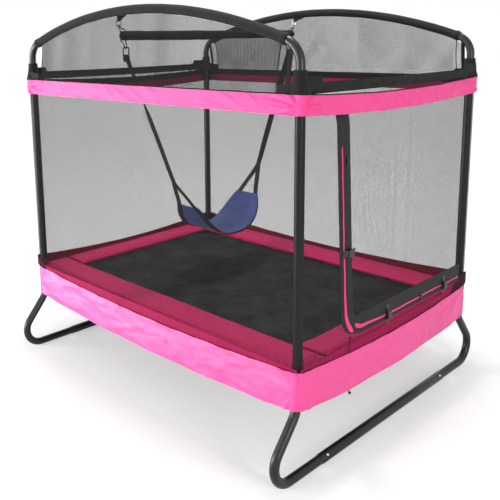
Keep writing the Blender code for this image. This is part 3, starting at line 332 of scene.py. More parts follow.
def cloth_look(name, color, rough, pitch, sheen, vary, creases=0.0020, specular=0.3, uv=True):
    """Plain woven polyester: a fine weave, faint streaks along the threads and soft creases."""
    look = Look(name, color, rough, sheen=sheen, specular=specular, uv=uv)
    streaks = look.noise(30, 2.0, (1.0, 1.0, 9.0))
    look.shade(look.mean(streaks, look.noise(5.0, 4.0)), 1 - 2 * vary, 1 + 2 * vary)
    look.bump(look.noise(7.0, 3.0, (1.0, 1.0, 2.6)), creases * 3.0, 0.7)
    look.bump(look.noise(34.0), creases, 0.7)
    look.bump(look.weave(pitch), 0.00012, 0.9)
    look.vary_rough(look.noise(14.0, 2.0), rough - 0.08, rough + 0.08)
    return look.mat


def webbing_look(name, color, rough=0.75, rib=0.0021):
    """Woven tape: ribs across its length and a herringbone of coarser threads."""
    look = Look(name, color, rough, sheen=0.05, specular=0.25)
    slant = look.math("ADD", look.u, look.math("ABSOLUTE", look.v))
    ribs = look.math("ABSOLUTE", look.wave(look.u, 2 * rib))
    look.bump(look.mean(ribs, look.wave(slant, rib * 1.7)), 0.0005, 0.9)
    look.shade(look.mean(look.noise(160.0, 2.0), look.noise(9.0)), 0.5, 2.0)
    return look.mat


def metal_look(name, color, rough, metal, grain=0.00012):
    """Powder coat or plated metal: a fine orange peel and a little uneven gloss."""
    look = Look(name, color, rough, metal=metal, specular=0.4, uv=False)
    look.bump(look.noise(900.0, 2.0), grain, 0.5)
    look.bump(look.noise(30.0), 0.0003, 0.25)
    look.shade(look.noise(22.0, 4.0), 0.7, 1.4)
    look.vary_rough(look.noise(45.0), rough - 0.07, rough + 0.08)
    return look.mat


def mat_look(name, color, rough):
    """Jumping mat: tight woven bands with a slight gloss and faint lines along both weaves."""
    look = Look(name, color, rough, specular=0.10, uv=False)
    look.bump(look.weave(0.0023), 0.0003, 0.9)
    look.bump(look.noise(18.0), 0.0012, 0.4)
    lines = look.noise(16.0, 2.0, (9.0, 0.6, 1.0))
    cross = look.noise(16.0, 2.0, (0.6, 9.0, 1.0))
    look.shade(look.contrast(look.mean(lines, cross, look.noise(7.0)), 0.43, 0.59), 0.35, 2.3)
    look.vary_rough(look.noise(60.0), 0.5, 0.75)
    return look.mat


def thread_look(name, color, specular=0.2):
    look = Look(name, color, 0.7, sheen=0.02, specular=specular, uv=False)
    look.bump(look.noise(1500.0, 2.0), 0.0002, 0.6)
    look.shade(look.noise(80.0, 2.0), 0.8, 1.2)
    return look.mat


def plastic_look(name, color, rough):
    look = Look(name, color, rough, specular=0.4, uv=False)
    look.bump(look.noise(700.0, 2.0), 0.0001, 0.5)
    look.shade(look.noise(60.0), 0.8, 1.3)
    look.vary_rough(look.noise(120.0), rough - 0.08, rough + 0.08)
    return look.mat


def make_looks():
    """Every look by name. A cloth has colour, roughness, pitch, sheen, vary, creases, specular, uv."""
    rows = (
        (metal_look, "steel", (0.009, 0.009, 0.0095), 0.37, 0.12),
        (cloth_look, "sleeve", (0.014, 0.014, 0.0145), 0.8, 0.0013, 0.03, 0.3, 0.0030, 0.15),
        (mat_look, "mat", (0.013, 0.0134, 0.0134), 0.7),
        (webbing_look, "hem", (0.007, 0.007, 0.0075)),
        (thread_look, "lace", (0.045, 0.045, 0.050)),
        (cloth_look, "pad", (0.50, 0.008, 0.095), 0.55, 0.0012, 0.02, 0.16, 0.0025, 0.2, False),
        # apron: the pad's own cloth given a lighter colour than the pad, painted light against the shade the
        # nets cast on it
        (cloth_look, "apron", (0.56, 0.010, 0.115), 0.6, 0.0012, 0.02, 0.16, 0.0025, 0.2),
        (cloth_look, "skirt", (0.94, 0.046, 0.300), 0.46, 0.0011, 0.10, 0.07, 0.0034, 0.75),
        (cloth_look, "belt", (0.94, 0.048, 0.290), 0.48, 0.0011, 0.10, 0.07, 0.0040, 0.45),
        # the belt's inner face: the pink belt cloth darkened to raspberry, painted shade
        (cloth_look, "lining", (0.62, 0.006, 0.100), 0.6, 0.0012, 0.02, 0.16, 0.0020, 0.2),
        (thread_look, "net", (0.014, 0.014, 0.0145), 0.12),
        (thread_look, "moon_net", (0.020, 0.020, 0.021), 0.12),
        # band: the pink skirt cloth's inner face darkened to maroon, painted shade
        (cloth_look, "band", (0.46, 0.004, 0.055), 0.7, 0.0012, 0.02, 0.2, 0.0020, 0.2),
        (thread_look, "net_hem", (0.10, 0.010, 0.030), 0.1),
        (cloth_look, "trim", (0.010, 0.010, 0.0105), 0.8, 0.0014, 0.03, 0.3, 0.0030, 0.2),
        (webbing_look, "tape", (0.0075, 0.0075, 0.008), 0.7, 0.0016),
        (plastic_look, "teeth", (0.012, 0.012, 0.0125), 0.4),
        (cloth_look, "pink_line", (0.92, 0.035, 0.24), 0.5, 0.0010, 0.05, 0.08),
        (webbing_look, "strap", (0.009, 0.009, 0.009)),
        (plastic_look, "buckle", (0.014, 0.014, 0.0145), 0.4),
        (metal_look, "chrome", (0.86, 0.86, 0.88), 0.28, 1.0, 0.00005),
        (cloth_look, "bar", (0.012, 0.012, 0.0125), 0.8, 0.0014, 0.03, 0.35, 0.0040, 0.15),
        (cloth_look, "seat", (0.030, 0.050, 0.19), 0.55, 0.0013, 0.15, 0.34, 0.0045, 0.45),
        (thread_look, "pink_thread", (0.85, 0.12, 0.36)),
        (thread_look, "black_thread", (0.035, 0.035, 0.038)))
    return {name: make(name, *values) for make, name, *values in rows}


# ---------------------------------------------------------------- mesh tools
def add_object(name, bm, look, sharp=40.0):
    me = bpy.data.meshes.new(name)
    bmesh.ops.recalc_face_normals(bm, faces=bm.faces)
    bm.to_mesh(me)
    bm.free()
    me.shade_smooth()
    me.set_sharp_from_angle(angle=radians(sharp))
    me.materials.append(LOOKS[look])
    return add_to_scene(name, me)


def piece(ob, slot, *nodes, body="frame"):
    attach(ob, body)
    if nodes:
        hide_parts(*nodes)
    return ob


def lengths_along(points):
    out = [0.0]
    for a, b in zip(points, points[1:]):
        out.append(out[-1] + (b - a).length)
    return out


def grid_of(rows, cols, spot):
    """Grid of spot(i, j), where i and j run from 0 to 1."""
    return [[spot(i / rows, j / cols) for j in range(cols + 1)] for i in range(rows + 1)]


def turns(steps):
    return [2 * pi * k / steps for k in range(steps)]


def turned(profile, at, across, up, axis, steps):
    """Rings of points about an axis, one for each (radius, way along it) of a profile."""
    return [[at + axis * z + (across * cos(t) + up * sin(t)) * r for t in turns(steps)]
            for r, z in profile]


def clamp(value, low=0.0, high=1.0):
    return min(max(value, low), high)


def grid_normals(grid, wrap_i, wrap_j):
    rows, cols = len(grid), len(grid[0])

    def beside(k, count, step, wrap):
        return (k + step) % count if wrap or 0 <= k + step < count else k

    return [[(grid[beside(i, rows, 1, wrap_i)][j] - grid[beside(i, rows, -1, wrap_i)][j]).cross(
        grid[i][beside(j, cols, 1, wrap_j)] - grid[i][beside(j, cols, -1, wrap_j)]).normalized()
             for j in range(cols)] for i in range(rows)]


def cloth_layer(bm):
    return bm.loops.layers.uv.get("cloth") or bm.loops.layers.uv.new("cloth")


def cloth_bm(grid, thick, wrap_i=False, wrap_j=False, bm=None):
    """A sheet with two faces and closed rims, grown to both sides of a grid of points."""
    rows, cols = len(grid), len(grid[0])
    normals = grid_normals(grid, wrap_i, wrap_j)
    bm = bm or bmesh.new()
    uv = cloth_layer(bm)
    us = lengths_along([grid[i % rows][cols // 2] for i in range(rows + 1)])
    vs = lengths_along([grid[rows // 2][j % cols] for j in range(cols + 1)])
    half_v = vs[cols - 1] / 2
    skins = [[[bm.verts.new(grid[i][j] + normals[i][j] * (side * thick)) for j in range(cols)]
              for i in range(rows)] for side in (0.5, -0.5)]

    def face(*corners):
        made = bm.faces.new([skins[k][i % rows][j % cols] for k, i, j in corners])
        for loop, (k, i, j) in zip(made.loops, corners):
            loop[uv].uv = (us[i], vs[j] - half_v)

    last_i, last_j = rows if wrap_i else rows - 1, cols if wrap_j else cols - 1
    for i in range(last_i):
        for j in range(last_j):
            face((0, i, j), (0, i, j + 1), (0, i + 1, j + 1), (0, i + 1, j))
            face((1, i, j), (1, i + 1, j), (1, i + 1, j + 1), (1, i, j + 1))
    for i in range(0 if wrap_j else last_i):
        for j in (0, cols - 1):
            face((0, i, j), (0, i + 1, j), (1, i + 1, j), (1, i, j))
    for j in range(0 if wrap_i else last_j):
        for i in (0, rows - 1):
            face((0, i, j), (1, i, j), (1, i, j + 1), (0, i, j + 1))
    return bm


def cloth(name, grid, thick, look, slot, *nodes, body="frame", wrap_i=False, wrap_j=False, **cut):
    """A piece of cloth. The cut, where given, is not used."""
    ob = add_object(name, cloth_bm(grid, thick, wrap_i, wrap_j), look, 50.0)
    piece(ob, slot, *nodes, body=body)
    return ob


def frames_along(path, closed):
    """Tangents and untwisted normals along a path."""
    count = len(path)
    tangents = []
    for i in range(count):
        a = path[i - 1] if closed or i else path[0]
        b = path[(i + 1) % count] if closed or i < count - 1 else path[-1]
        tangents.append((b - a).normalized())
    normals = [tangents[0].orthogonal().normalized()]
    for i in range(1, count):
        carried = tangents[i - 1].rotation_difference(tangents[i]) @ normals[-1]
        normals.append((carried - tangents[i] * carried.dot(tangents[i])).normalized())
    if closed:
        end = tangents[-1].rotation_difference(tangents[0]) @ normals[-1]
        left = atan2(end.cross(normals[0]).dot(tangents[0]), end.dot(normals[0]))
        normals = [Matrix.Rotation(left * i / count, 3, tangents[i]) @ n for i, n in enumerate(normals)]
    return tangents, normals


def tube_bm(path, radius, sides, closed=False, bm=None):
    """A round bar along a path."""
    tangents, normals = frames_along(path, closed)
    bm = bm or bmesh.new()
    uv = cloth_layer(bm)
    rings = [[bm.verts.new(p + n * (radius * cos(t)) + tangent.cross(n) * (radius * sin(t)))
              for t in turns(sides)] for p, tangent, n in zip(path, tangents, normals)]
    count = len(path)
    along = lengths_along([path[i % count] for i in range(count + 1)])
    around = radius * 2 * pi / sides
    for i in range(count if closed else count - 1):
        for k in range(sides):
            corners = [(i, k), (i, k + 1), (i + 1, k + 1), (i + 1, k)]
            made = bm.faces.new([rings[a % count][b % sides] for a, b in corners])
            for loop, (a, b) in zip(made.loops, corners):
                loop[uv].uv = (along[a], b * around)
    if not closed:
        bm.faces.new(rings[0][::-1])
        bm.faces.new(rings[-1])
    return bm


def tube(name, path, radius, look, sides, slot, *nodes, body="frame", closed=False):
    return piece(add_object(name, tube_bm(path, radius, sides, closed), look, 50.0), slot, *nodes, body=body)


def capped_bm(rings):
    """Skin over rings of points, with both ends closed."""
    bm = bmesh.new()
    rows = [[bm.verts.new(p) for p in ring] for ring in rings]
    count = len(rows[0])
    for a, b in zip(rows, rows[1:]):
        for k in range(count):
            m = (k + 1) % count
            bm.faces.new((a[k], a[m], b[m], b[k]))
    bm.faces.new(rows[0][::-1])
    bm.faces.new(rows[-1])
    return bm


def build_fastener(name, profile, at, axis, steps, look):
    turn = axis.to_track_quat("Z", "Y")
    rings = turned(profile, at, turn @ X, turn @ Y, turn @ Z, steps)
    piece(add_object(name, capped_bm(rings), look), "metal")


def smooth(points, steps, closed=False):
    """Catmull-Rom curve through the points."""
    count = len(points)
    out = []
    for i in range(count if closed else count - 1):
        spots = [(i + k) % count if closed else clamp(i + k, 0, count - 1) for k in (-1, 0, 1, 2)]
        p0, p1, p2, p3 = (points[k] for k in spots)
        for k in range(steps):
            t = k / steps
            out.append(0.5 * (2 * p1 + (p2 - p0) * t + (2 * p0 - 5 * p1 + 4 * p2 - p3) * t * t
                              + (3 * p1 - 3 * p2 + p3 - p0) * t ** 3))
    return out if closed else out + [points[-1].copy()]


def resample(points, step):
    """Points every step metres along a path, with its direction there."""
    lengths = lengths_along(points)
    out, i = [], 0
    count = int(lengths[-1] / step)
    for k in range(count):
        want = (k + 0.5) * lengths[-1] / count
        while lengths[i + 1] < want:
            i += 1
        share = (want - lengths[i]) / (lengths[i + 1] - lengths[i])
        out.append((points[i].lerp(points[i + 1], share), (points[i + 1] - points[i]).normalized(), i))
    return out


def stitches(name, rows, look, slot, body="frame", pitch=0.009, width=0.0007):
    """Rows of short threads lying on cloth. Each row is its points and the cloth's normals there."""
    bm = bmesh.new()
    for points, normals in rows:
        for at, along, i in resample(points, pitch):
            up = normals[i]
            across = along.cross(up).normalized() * width
            ends = [bm.verts.new(at + along * (s * pitch * 0.36)) for s in (-1, 1)]
            ring = [bm.verts.new(at + d) for d in (across, up * (width * 0.8), -across, -up * (width * 0.5))]
            for a, b in zip(ring, ring[1:] + ring[:1]):
                bm.faces.new((a, b, ends[1]))
                bm.faces.new((b, a, ends[0]))
    piece(add_object(name, bm, look), slot, body=body)


def wobble(x, y, z, scale, seed=0.0):
    """Smooth noise from -1 to 1."""
    return noise.noise(Vector((x * scale + seed, y * scale - seed, z * scale)))


def crease(x, y, z, scale, seed):
    """Sharp-crested folds from 0 to 1, mostly flat between them."""
    return max(0.0, 1 - abs(wobble(x, y, z, scale, seed)) * 3.2) ** 2


def add_box(bm, size, centre, bevel, turn):
    made = bmesh.ops.create_cube(bm, size=1.0)["verts"]
    bmesh.ops.transform(bm, matrix=Matrix.Diagonal((*size, 1.0)), verts=made)
    edges = list({e for v in made for e in v.link_edges})
    grown = bmesh.ops.bevel(bm, geom=edges, offset=bevel, segments=2, affect="EDGES", profile=0.6)["verts"]
    bmesh.ops.transform(bm, matrix=Matrix.Translation(centre) @ turn.to_4x4(), verts=grown)


# ---------------------------------------------------------------- the four sides
SIDES = {"front": (X, -Y), "right": (Y, X), "back": (-X, Y), "left": (-Y, -X)}
LONG = ("front", "back")


def reach(side):
    """Half length of a side and its distance from the middle, to the net's inner face."""
    return (NET_X, NET_Y) if side in LONG else (NET_Y, NET_X)


def on_side(side, along, out, z):
    a, o = SIDES[side]
    return a * along + o * out + Z * z


def skirt_line(s):
    """Height of the skirt's top edge, which sinks towards the middle of each side."""
    return SKIRT_TOP - SKIRT_SAG * (1 - s * s)


def gathered(s):
    """Places from -1 to 1, closer together towards the ends, where cloth has its small folds."""
    return 0.45 * s + 0.55 * sin(pi / 2 * s)


def ring_points(radius, per_x, per_y, corner_steps, extra):
    """Closed path round the enclosure: (side, s, point, outward normal)."""
    out = []
    for side, (along, outward) in SIDES.items():
        half, depth = (size + extra for size in reach(side))
        count = per_x if side in LONG else per_y
        for k in range(count + 1):
            s = gathered(-1 + 2 * k / count)
            out.append((side, s, on_side(side, s * (half - radius), depth, 0.0), outward))
        centre = on_side(side, half - radius, depth - radius, 0.0)
        for k in range(1, corner_steps):
            t = pi / 2 * k / corner_steps
            normal = outward * cos(t) + along * sin(t)
            out.append((side, 1.0, centre + normal * radius, normal))
    return out


# ---------------------------------------------------------------- steel tubes
def arc(cy, cz, radius, start, end, steps):
    angles = [start + (end - start) * i / steps for i in range(steps + 1)]
    return [(cy + radius * cos(t), cz + radius * sin(t)) for t in angles]


def leg_path():
    """Axis of a leg in (y, z) from its post's axis: down, out and back along the ground."""
    run_y = LEG_SPREAD - LEG_LOWER_BEND
    low_y = run_y + LEG_LOWER_BEND * cos(LEG_LEAN)
    low_z = CROSS_R + LEG_LOWER_BEND * (1 + sin(LEG_LEAN))
    out_y = LEG_UPPER_BEND * (1 - cos(LEG_LEAN))
    knee_z = low_z + (low_y - out_y) / tan(LEG_LEAN) + LEG_UPPER_BEND * sin(LEG_LEAN)
    pts = [(0.0, RAIL_Z + 0.003), (0.0, knee_z + 0.02)]
    pts += arc(LEG_UPPER_BEND, knee_z, LEG_UPPER_BEND, pi, pi + LEG_LEAN, 10)
    pts += arc(run_y, CROSS_R + LEG_LOWER_BEND, LEG_LOWER_BEND, LEG_LEAN, -pi / 2, 18)
    return pts + [(CROSS_HALF - 0.06 - POST_Y, CROSS_R)]


def wall_tube(name, node_name, profile, at, up, axis, steps):
    """An open tube, from the (outer radius, way along it) of its profile."""
    rings = turned([(r - WALL_T / 2, z) for r, z in profile], at, X, up, axis, steps)
    cloth(name, rings, WALL_T, "steel", "steel", node_name, wrap_j=True)


def build_tubes():
    for name, (sx, sy) in CORNERS.items():
        at = Vector((sx * POST_X, sy * POST_Y, 0))
        path = [at + Vector((0, sy * y, z)) for y, z in leg_path()]
        tube("leg_tube_" + name, path, POST_R, "steel", 28, "steel", "leg_bend_" + name)
        levels = (POST_LOW, POST_LOW + 0.02, 0.8, 1.1, POST_TOP - 0.02, POST_TOP)
        wall_tube("post_tube_" + name, "post_" + name, [(POST_R, z) for z in levels], at, Y, Z, 28)
    end = ((CROSS_R - 0.0012, CROSS_HALF), (CROSS_R, CROSS_HALF - 0.0015), (CROSS_R, 0.2))
    for sx, name in ((-1, "left"), (1, "right")):
        at = Vector((sx * POST_X, 0, CROSS_R))
        profile = [(r, -y) for r, y in end] + list(end[::-1])
        wall_tube("cross_tube_" + name, "leg_cross_" + name, profile, at, Z, Y, 32)
        axis = Vector((sx * sin(BUTTON_TURN), 0, cos(BUTTON_TURN)))
        for s, where in ((-1, "near"), (1, "far")):
            button = at + Y * (s * (CROSS_HALF - BUTTON_INSET)) + axis * CROSS_R
            build_fastener("snap_button_%s_%s" % (name, where), BUTTON, button, axis, 20, "chrome")
    for sy, name in ((-1, "front"), (1, "back")):
        path = [Vector((x, sy * POST_Y, z)) for x, z in arch_path()]
        tube("arch_pipe_" + name, path, ARCH_R, "steel", 28, "steel", "arch_tube_" + name)


ELBOW_X = POST_X - ELBOW_RADIUS                # middle of the arch's elbow bend
ELBOW_LEAN = asin(ELBOW_X / (CROWN_RADIUS - ELBOW_RADIUS))
ELBOW_Z = ARCH_TOP - CROWN_RADIUS + (CROWN_RADIUS - ELBOW_RADIUS) * cos(ELBOW_LEAN)


def crown_z(x):
    return ARCH_TOP - CROWN_RADIUS + sqrt(CROWN_RADIUS ** 2 - x * x)


def arch_path():
    start_x = CROWN_RADIUS * sin(ELBOW_LEAN)
    right = arc(ELBOW_X, ELBOW_Z, ELBOW_RADIUS, pi / 2 - ELBOW_LEAN, 0.0, 14) + [(POST_X, POST_TOP - 0.06)]
    crown = [(x, crown_z(x)) for x in (start_x * (-1 + 2 * k / 40) for k in range(1, 40))]
    return [(-x, z) for x, z in reversed(right)] + crown + right


# ---------------------------------------------------------------- nets
def add_strand(bm, a, b, width, normal):
    """One thread of a net: a thin three-sided bar from a to b."""
    across = (b - a).cross(normal).normalized() * (width / 2)
    lift = normal * (width * 0.45)
    ends = [[bm.verts.new(p + d) for d in (across, -across, lift)] for p in (a, b)]
    for k in range(3):
        m = (k + 1) % 3
        bm.faces.new((ends[0][k], ends[0][m], ends[1][m], ends[1][k]))
    bm.faces.new(ends[0][::-1])
    bm.faces.new(ends[1])


def net_sheet(name, bm, look, flat, cover, rests_on, *nodes):
    """A net from its threads. The share they cover and its cut are not used."""
    net = piece(add_object(name, bm, look, 20.0), "net", *nodes)


def clip(point, slope, inside, reach_t):
    """Stretch of the line point + t * slope that lies inside a convex outline, or nothing."""
    def at(t):
        return point[0] + slope[0] * t, point[1] + slope[1] * t

    hit = [t for t in (reach_t * (k / 24 - 1) for k in range(49)) if inside(*at(t))]
    if not hit:
        return None
    ends = []
    for good, bad in ((hit[0], hit[0] - reach_t / 24), (hit[-1], hit[-1] + reach_t / 24)):
        for _ in range(12):
            mid = (good + bad) / 2
            good, bad = (mid, bad) if inside(*at(mid)) else (good, mid)
        ends.append(at(good))
    return ends if dist(*ends) > 0.002 else None


def net_lines(half, low, high, inside, slant):
    """Straight threads in two directions that fill an outline, as (family, start, end)."""
    mid = (low + high) / 2
    size = hypot(half, (high - low) / 2) + 0.01
    count = int(size / NET_PITCH)
    for family, turn in enumerate((slant, slant + pi / 2)):
        slope = (cos(turn), sin(turn))
        for d in ((k + 0.5) * NET_PITCH for k in range(-count, count + 1)):
            ends = clip((-slope[1] * d, mid + slope[0] * d), slope, inside, size * 1.05)
            if ends:
                yield family, *ends


def net_spot(side, a, z, out):
    """Point of a side net, a metres along its cloth from the middle."""
    half, depth = reach(side)
    turn = max(0.0, abs(a) - (half - NET_BEND)) / NET_BEND
    along = min(abs(a), half - NET_BEND) + (NET_BEND + out) * sin(turn)
    return on_side(side, copysign(along, a), depth - NET_BEND + (NET_BEND + out) * cos(turn), z)


def cut_thread(start, end, places):
    """Points of a straight thread, with one at each of the places (either sign) along the side."""
    run = end[0] - start[0]
    shares = {0.0, 1.0}
    if abs(run) > 1e-6:
        shares |= {t for t in ((s * p - start[0]) / run for p in places for s in (-1, 1)) if 0 < t < 1}
    return [(start[0] + run * t, start[1] + (end[1] - start[1]) * t) for t in sorted(shares)]


def build_side_net(side, slant):
    straight = reach(side)[0] - NET_BEND
    half = straight + NET_BEND * pi / 4
    bends = [straight + NET_BEND * pi / 4 * k / 3 for k in range(3)]
    top = NET_TOP if side in LONG else NET_TOP - SHORT_NET_DROP

    def inside(a, z):
        return abs(a) <= half and skirt_line(a / half) <= z <= top

    bm = bmesh.new()
    for family, start, end in net_lines(half, skirt_line(0.0), top, inside, slant):
        out = 0.0004 + 0.0005 * family
        pts = [net_spot(side, a, z, out) for a, z in cut_thread(start, end, bends)]
        for a, b in zip(pts, pts[1:]):
            add_strand(bm, a, b, NET_STRAND, SIDES[side][1])
    net_sheet("mesh_" + side, bm, "net", (2 * half, NET_TOP - SKIRT_TOP), 2 * NET_STRAND / NET_PITCH,
              "skirt_" + side, "net_" + side)


def moon_top(x):
    """Upper edge of the half-moon nets: under the sleeve, then under the bare elbow."""
    x = abs(x)
    top = crown_z(x) - (SLEEVE_R + 0.0006) / cos(asin(x / CROWN_RADIUS))
    if x < SLEEVE_END:
        return top
    return min(top, ELBOW_Z + sqrt((ELBOW_RADIUS - ARCH_R) ** 2 - (x - ELBOW_X) ** 2) - 0.0015)


def moon_spot(side, x, z, out=0.0):
    """Point of a half-moon net: it leans in from the belt to the arch, with its ends drawn in."""
    v = clamp((z - MOON_FOOT) / (moon_top(x) - MOON_FOOT))
    lean = NET_Y + NET_T / 2 - POST_Y
    bow = MOON_BOW * min(1.0, abs(x) / HALF_MOON_X) ** 6 * sin(pi * v)
    bow *= 1 - max(0.0, abs(x) - HALF_MOON_X) / (MOON_TAPE_X - HALF_MOON_X)
    return on_side(side, x - copysign(bow, x), POST_Y + lean * (1 - v) + out, z)


def build_half_moon(side, slant):
    outward = SIDES[side][1]
    edges = {-1: MOON_EDGE[side], 1: HALF_MOON_X}

    def inside(x, z):
        return abs(x) <= MOON_TAPE_X and MOON_FOOT <= z <= moon_top(x)

    bm = bmesh.new()
    cuts = [HALF_MOON_X * k / 3 for k in range(3)] + list(edges.values())
    for family, start, end in net_lines(MOON_TAPE_X, MOON_FOOT, moon_top(0.0), inside, slant):
        pts = cut_thread(start, end, cuts)
        for a, b in zip(pts, pts[1:]):
            wide = MOON_STRAND * (1 + 0.30 * noise.noise(Vector((a[0] * 9.0, 3.0 * family, a[1] * 2.0))))
            mid = (a[0] + b[0]) / 2
            if mid < -edges[-1]:
                if side == "front":
                    continue
                wide *= 0.9
            elif mid > edges[1]:
                wide = 0.5 * MOON_STRAND
            add_strand(bm, *(moon_spot(side, x, z, 0.0006 * family) for x, z in (a, b)), wide, outward)
    net_sheet("half_moon_mesh_" + side, bm, "moon_net", (2 * HALF_MOON_X, moon_top(0.0) - MOON_FOOT),
              0.86 * 2 * MOON_STRAND / NET_PITCH, "arch_sleeve_" + side, "half_moon_net_" + side)
    for sign, end in ((-1, "left"), (1, "right")):
        x = edges[sign]
        rise = moon_top(x) - MOON_FOOT
        edge = [moon_spot(side, sign * x, MOON_FOOT + rise * k / 12) for k in range(13)]
        tube("net_edge_%s_%s" % (side, end), edge, 0.0019, "trim", 8, "trim")
        if side == "front" and sign < 0:
            continue

        def spot(i, j):
            x = MOON_TAPE_X + MOON_TAPE_W * (j - 0.5)
            low = MOON_FOOT + 0.034
            z = low + (moon_top(x) - low) * i
            return moon_spot(side, sign * x, z, 0.0008) + outward * (0.0015 * wobble(x, 0, z, 9.0, sign))

        cloth("net_tape_%s_%s" % (side, end), grid_of(20, 4, spot), 0.0016, "trim", "trim",
              flat=(MOON_TAPE_W, 0.13), rests_on=["arch_tube_" + side])


def build_nets():
    """The nets of opposite sides are cut at different slants, so their threads don't line up."""
    for side, slant in (("front", 0.0), ("back", pi / 4), ("right", 0.0), ("left", pi / 4)):
        build_side_net(side, slant)
        if side in LONG:
            build_half_moon(side, slant)


# ---------------------------------------------------------------- belt, skirt, band and trims
def pleats(run, v, strength, seed):
    """Folds that run into a corner: run is the way to it in metres, v the height from 0 to 1."""
    angle = atan2((v - 0.42) * 0.072, run + 0.006)
    ridge = 0.5 + 0.5 * sin(9.0 * angle + seed + 2.0 * noise.noise(Vector((run * 7.0, v * 1.5, seed))))
    return strength * ridge ** 2 * exp(-run / 0.20) * (1 - exp(-run / 0.020))


def belt_fold(side, s, v, point):
    half = reach(side)[0]
    run = point.x if side in LONG else point.y
    out = pleats((1 - s) * half, v, 0.015 if side == "front" else 0.008, 0.7)
    out += pleats((1 + s) * half, v, 0.015 if side == "right" else 0.008, 2.1)
    out += 0.0042 * crease(run + v * 0.09, 0.0, v * 0.10, 7.0, 3.0)
    out += 0.0012 * (1 + wobble(point.x, point.y, v * 0.12, 9.0, 3.0))
    return out + 0.0012 * sin(pi * v)


def belt_z(side, s, v):
    """Height in the belt, from its lower edge at 0 to its upper one at 1."""
    sag = 0.0 if side in LONG else BELT_SAG * (1 - s * s)
    return NET_TOP - sag - BELT_H * (1 - v)


def hem_stitches(name, rows, outs, places, lift, slot):
    """Pink stitches along some columns of a cloth's grid."""
    lines = [([row[k] + out * lift for row, out in zip(rows, outs)], outs) for k in places]
    stitches(name, lines, "pink_thread", slot)


def build_belt():
    path = ring_points(0.012, 300, 220, 6, LAYER)
    outs = [outward for side, s, point, outward in path]
    rows = [[point + outward * (BELT_T / 2 + belt_fold(side, s, v, point))
             + Z * (belt_z(side, s, v) + 0.0012 * wobble(point.x, point.y, v, 8.0))
             for v in (k / 24 for k in range(25))] for side, s, point, outward in path]
    around = lengths_along([row[12] for row in rows])[-1]
    cloth("belt_cover", rows, BELT_T, "belt", "belt", "top_belt", wrap_i=True, flat=(around, BELT_H),
          rests_on=["net_front", "net_back"])
    hem_stitches("belt_stitching", rows, outs, (2, 22), BELT_T / 2 + 0.0002, "belt")
    edge = [row[24] + outward * 0.0004 + Z * 0.0016 for row, outward in zip(rows, outs)]
    tube("belt_binding", edge, 0.0026, "trim", 8, "trim", closed=True)
    inner = ring_points(0.010, 90, 70, 5, 0.0018)
    # the first sheet is the pink belt's inner face darkened to raspberry: painted shade
    for name, start, end, inward, look, slot in (("belt_inner_shade", 0.02, 0.62, 0.0, "lining", "belt"),
                                                 ("belt_webbing", 0.58, 0.99, 0.0003, "tape", "trim")):
        rows = [[point - outward * inward + Z * belt_z(side, s, start + (end - start) * k / 3)
                 for k in range(4)] for side, s, point, outward in inner]
        cloth(name, rows, 0.0006, look, slot, wrap_i=True, flat=(around, BELT_H * (end - start)),
              rests_on=["belt_cover"])


def skirt_fold(side, s, v, point):
    """How far the skirt stands out below its top edge: soft swags, creases and a drawn-in hem."""
    fade = 1 - abs(s) ** 8
    folds = 5 if side in LONG else 3
    run = point.x if side in LONG else point.y
    sway = sin(pi * min(1.0, v * 1.1))
    out = 0.0030 * v + 0.0026 * v * fade * (1 + sin(folds * pi * s + 0.8))
    out += 0.0030 * fade * sway * wobble(point.x, point.y, v * 0.3, 6.0)
    out += 0.0050 * fade * sway * crease(run * 0.6 + v * 0.16, 0.0, v * 0.30, 4.0, 8.0)
    out += 0.0034 * crease(run * 0.4, 0.0, v * 0.155, 15.0, 2.0) * (1 - 0.7 * v)
    out += pleats((1 - abs(s)) * reach(side)[0], 1 - v, 0.006, 1.3)
    out += 0.0010 * wobble(point.x, point.y, v * 0.155, 26.0, 5.0)
    return out - 0.0025 * v ** 6


def skirt_stations(side, half, depth):
    """(s, point, normal) along a side, with half of the bend at each of its ends."""
    along, outward = SIDES[side]
    count = 220 if side in LONG else 160
    out = []
    for k in range(-6, count + 7):
        if 0 <= k <= count:
            s = gathered(-1 + 2 * k / count)
            out.append((s, on_side(side, s * (half - SKIRT_RADIUS), depth, 0.0), outward))
            continue
        sign, step = (-1, -k) if k < 0 else (1, k - count)
        t = pi / 4 * step / 6 * (0.999 if step == 6 else 1.0)
        normal = outward * cos(t) + along * (sign * sin(t))
        centre = on_side(side, sign * (half - SKIRT_RADIUS), depth - SKIRT_RADIUS, 0.0)
        out.append((sign, centre + normal * SKIRT_RADIUS, normal))
    return out


def build_skirts():
    for side, (along, outward) in SIDES.items():
        half, depth = (size + LAYER for size in reach(side))
        rows, outs = [], []
        for s, point, normal in skirt_stations(side, half, depth):
            top = skirt_line(point.dot(along) / half) - GAP
            rows.append([point + normal * (SKIRT_T / 2 + skirt_fold(side, s, v, point))
                         + Z * (top - v * SKIRT_H) for v in (k / 20 for k in range(21))])
            outs.append(normal)
        cloth("skirt_cover_" + side, rows, SKIRT_T, "skirt", "skirt", "skirt_" + side,
              flat=(2 * half, SKIRT_H), held="hung", rests_on=["net_" + side])
        hem_stitches("skirt_stitching_" + side, rows, outs, (1, 19), SKIRT_T / 2 + 0.0003, "skirt")
        tube("skirt_binding_" + side, [row[0] + Z * 0.0010 for row in rows], 0.0014, "trim", 6, "trim")


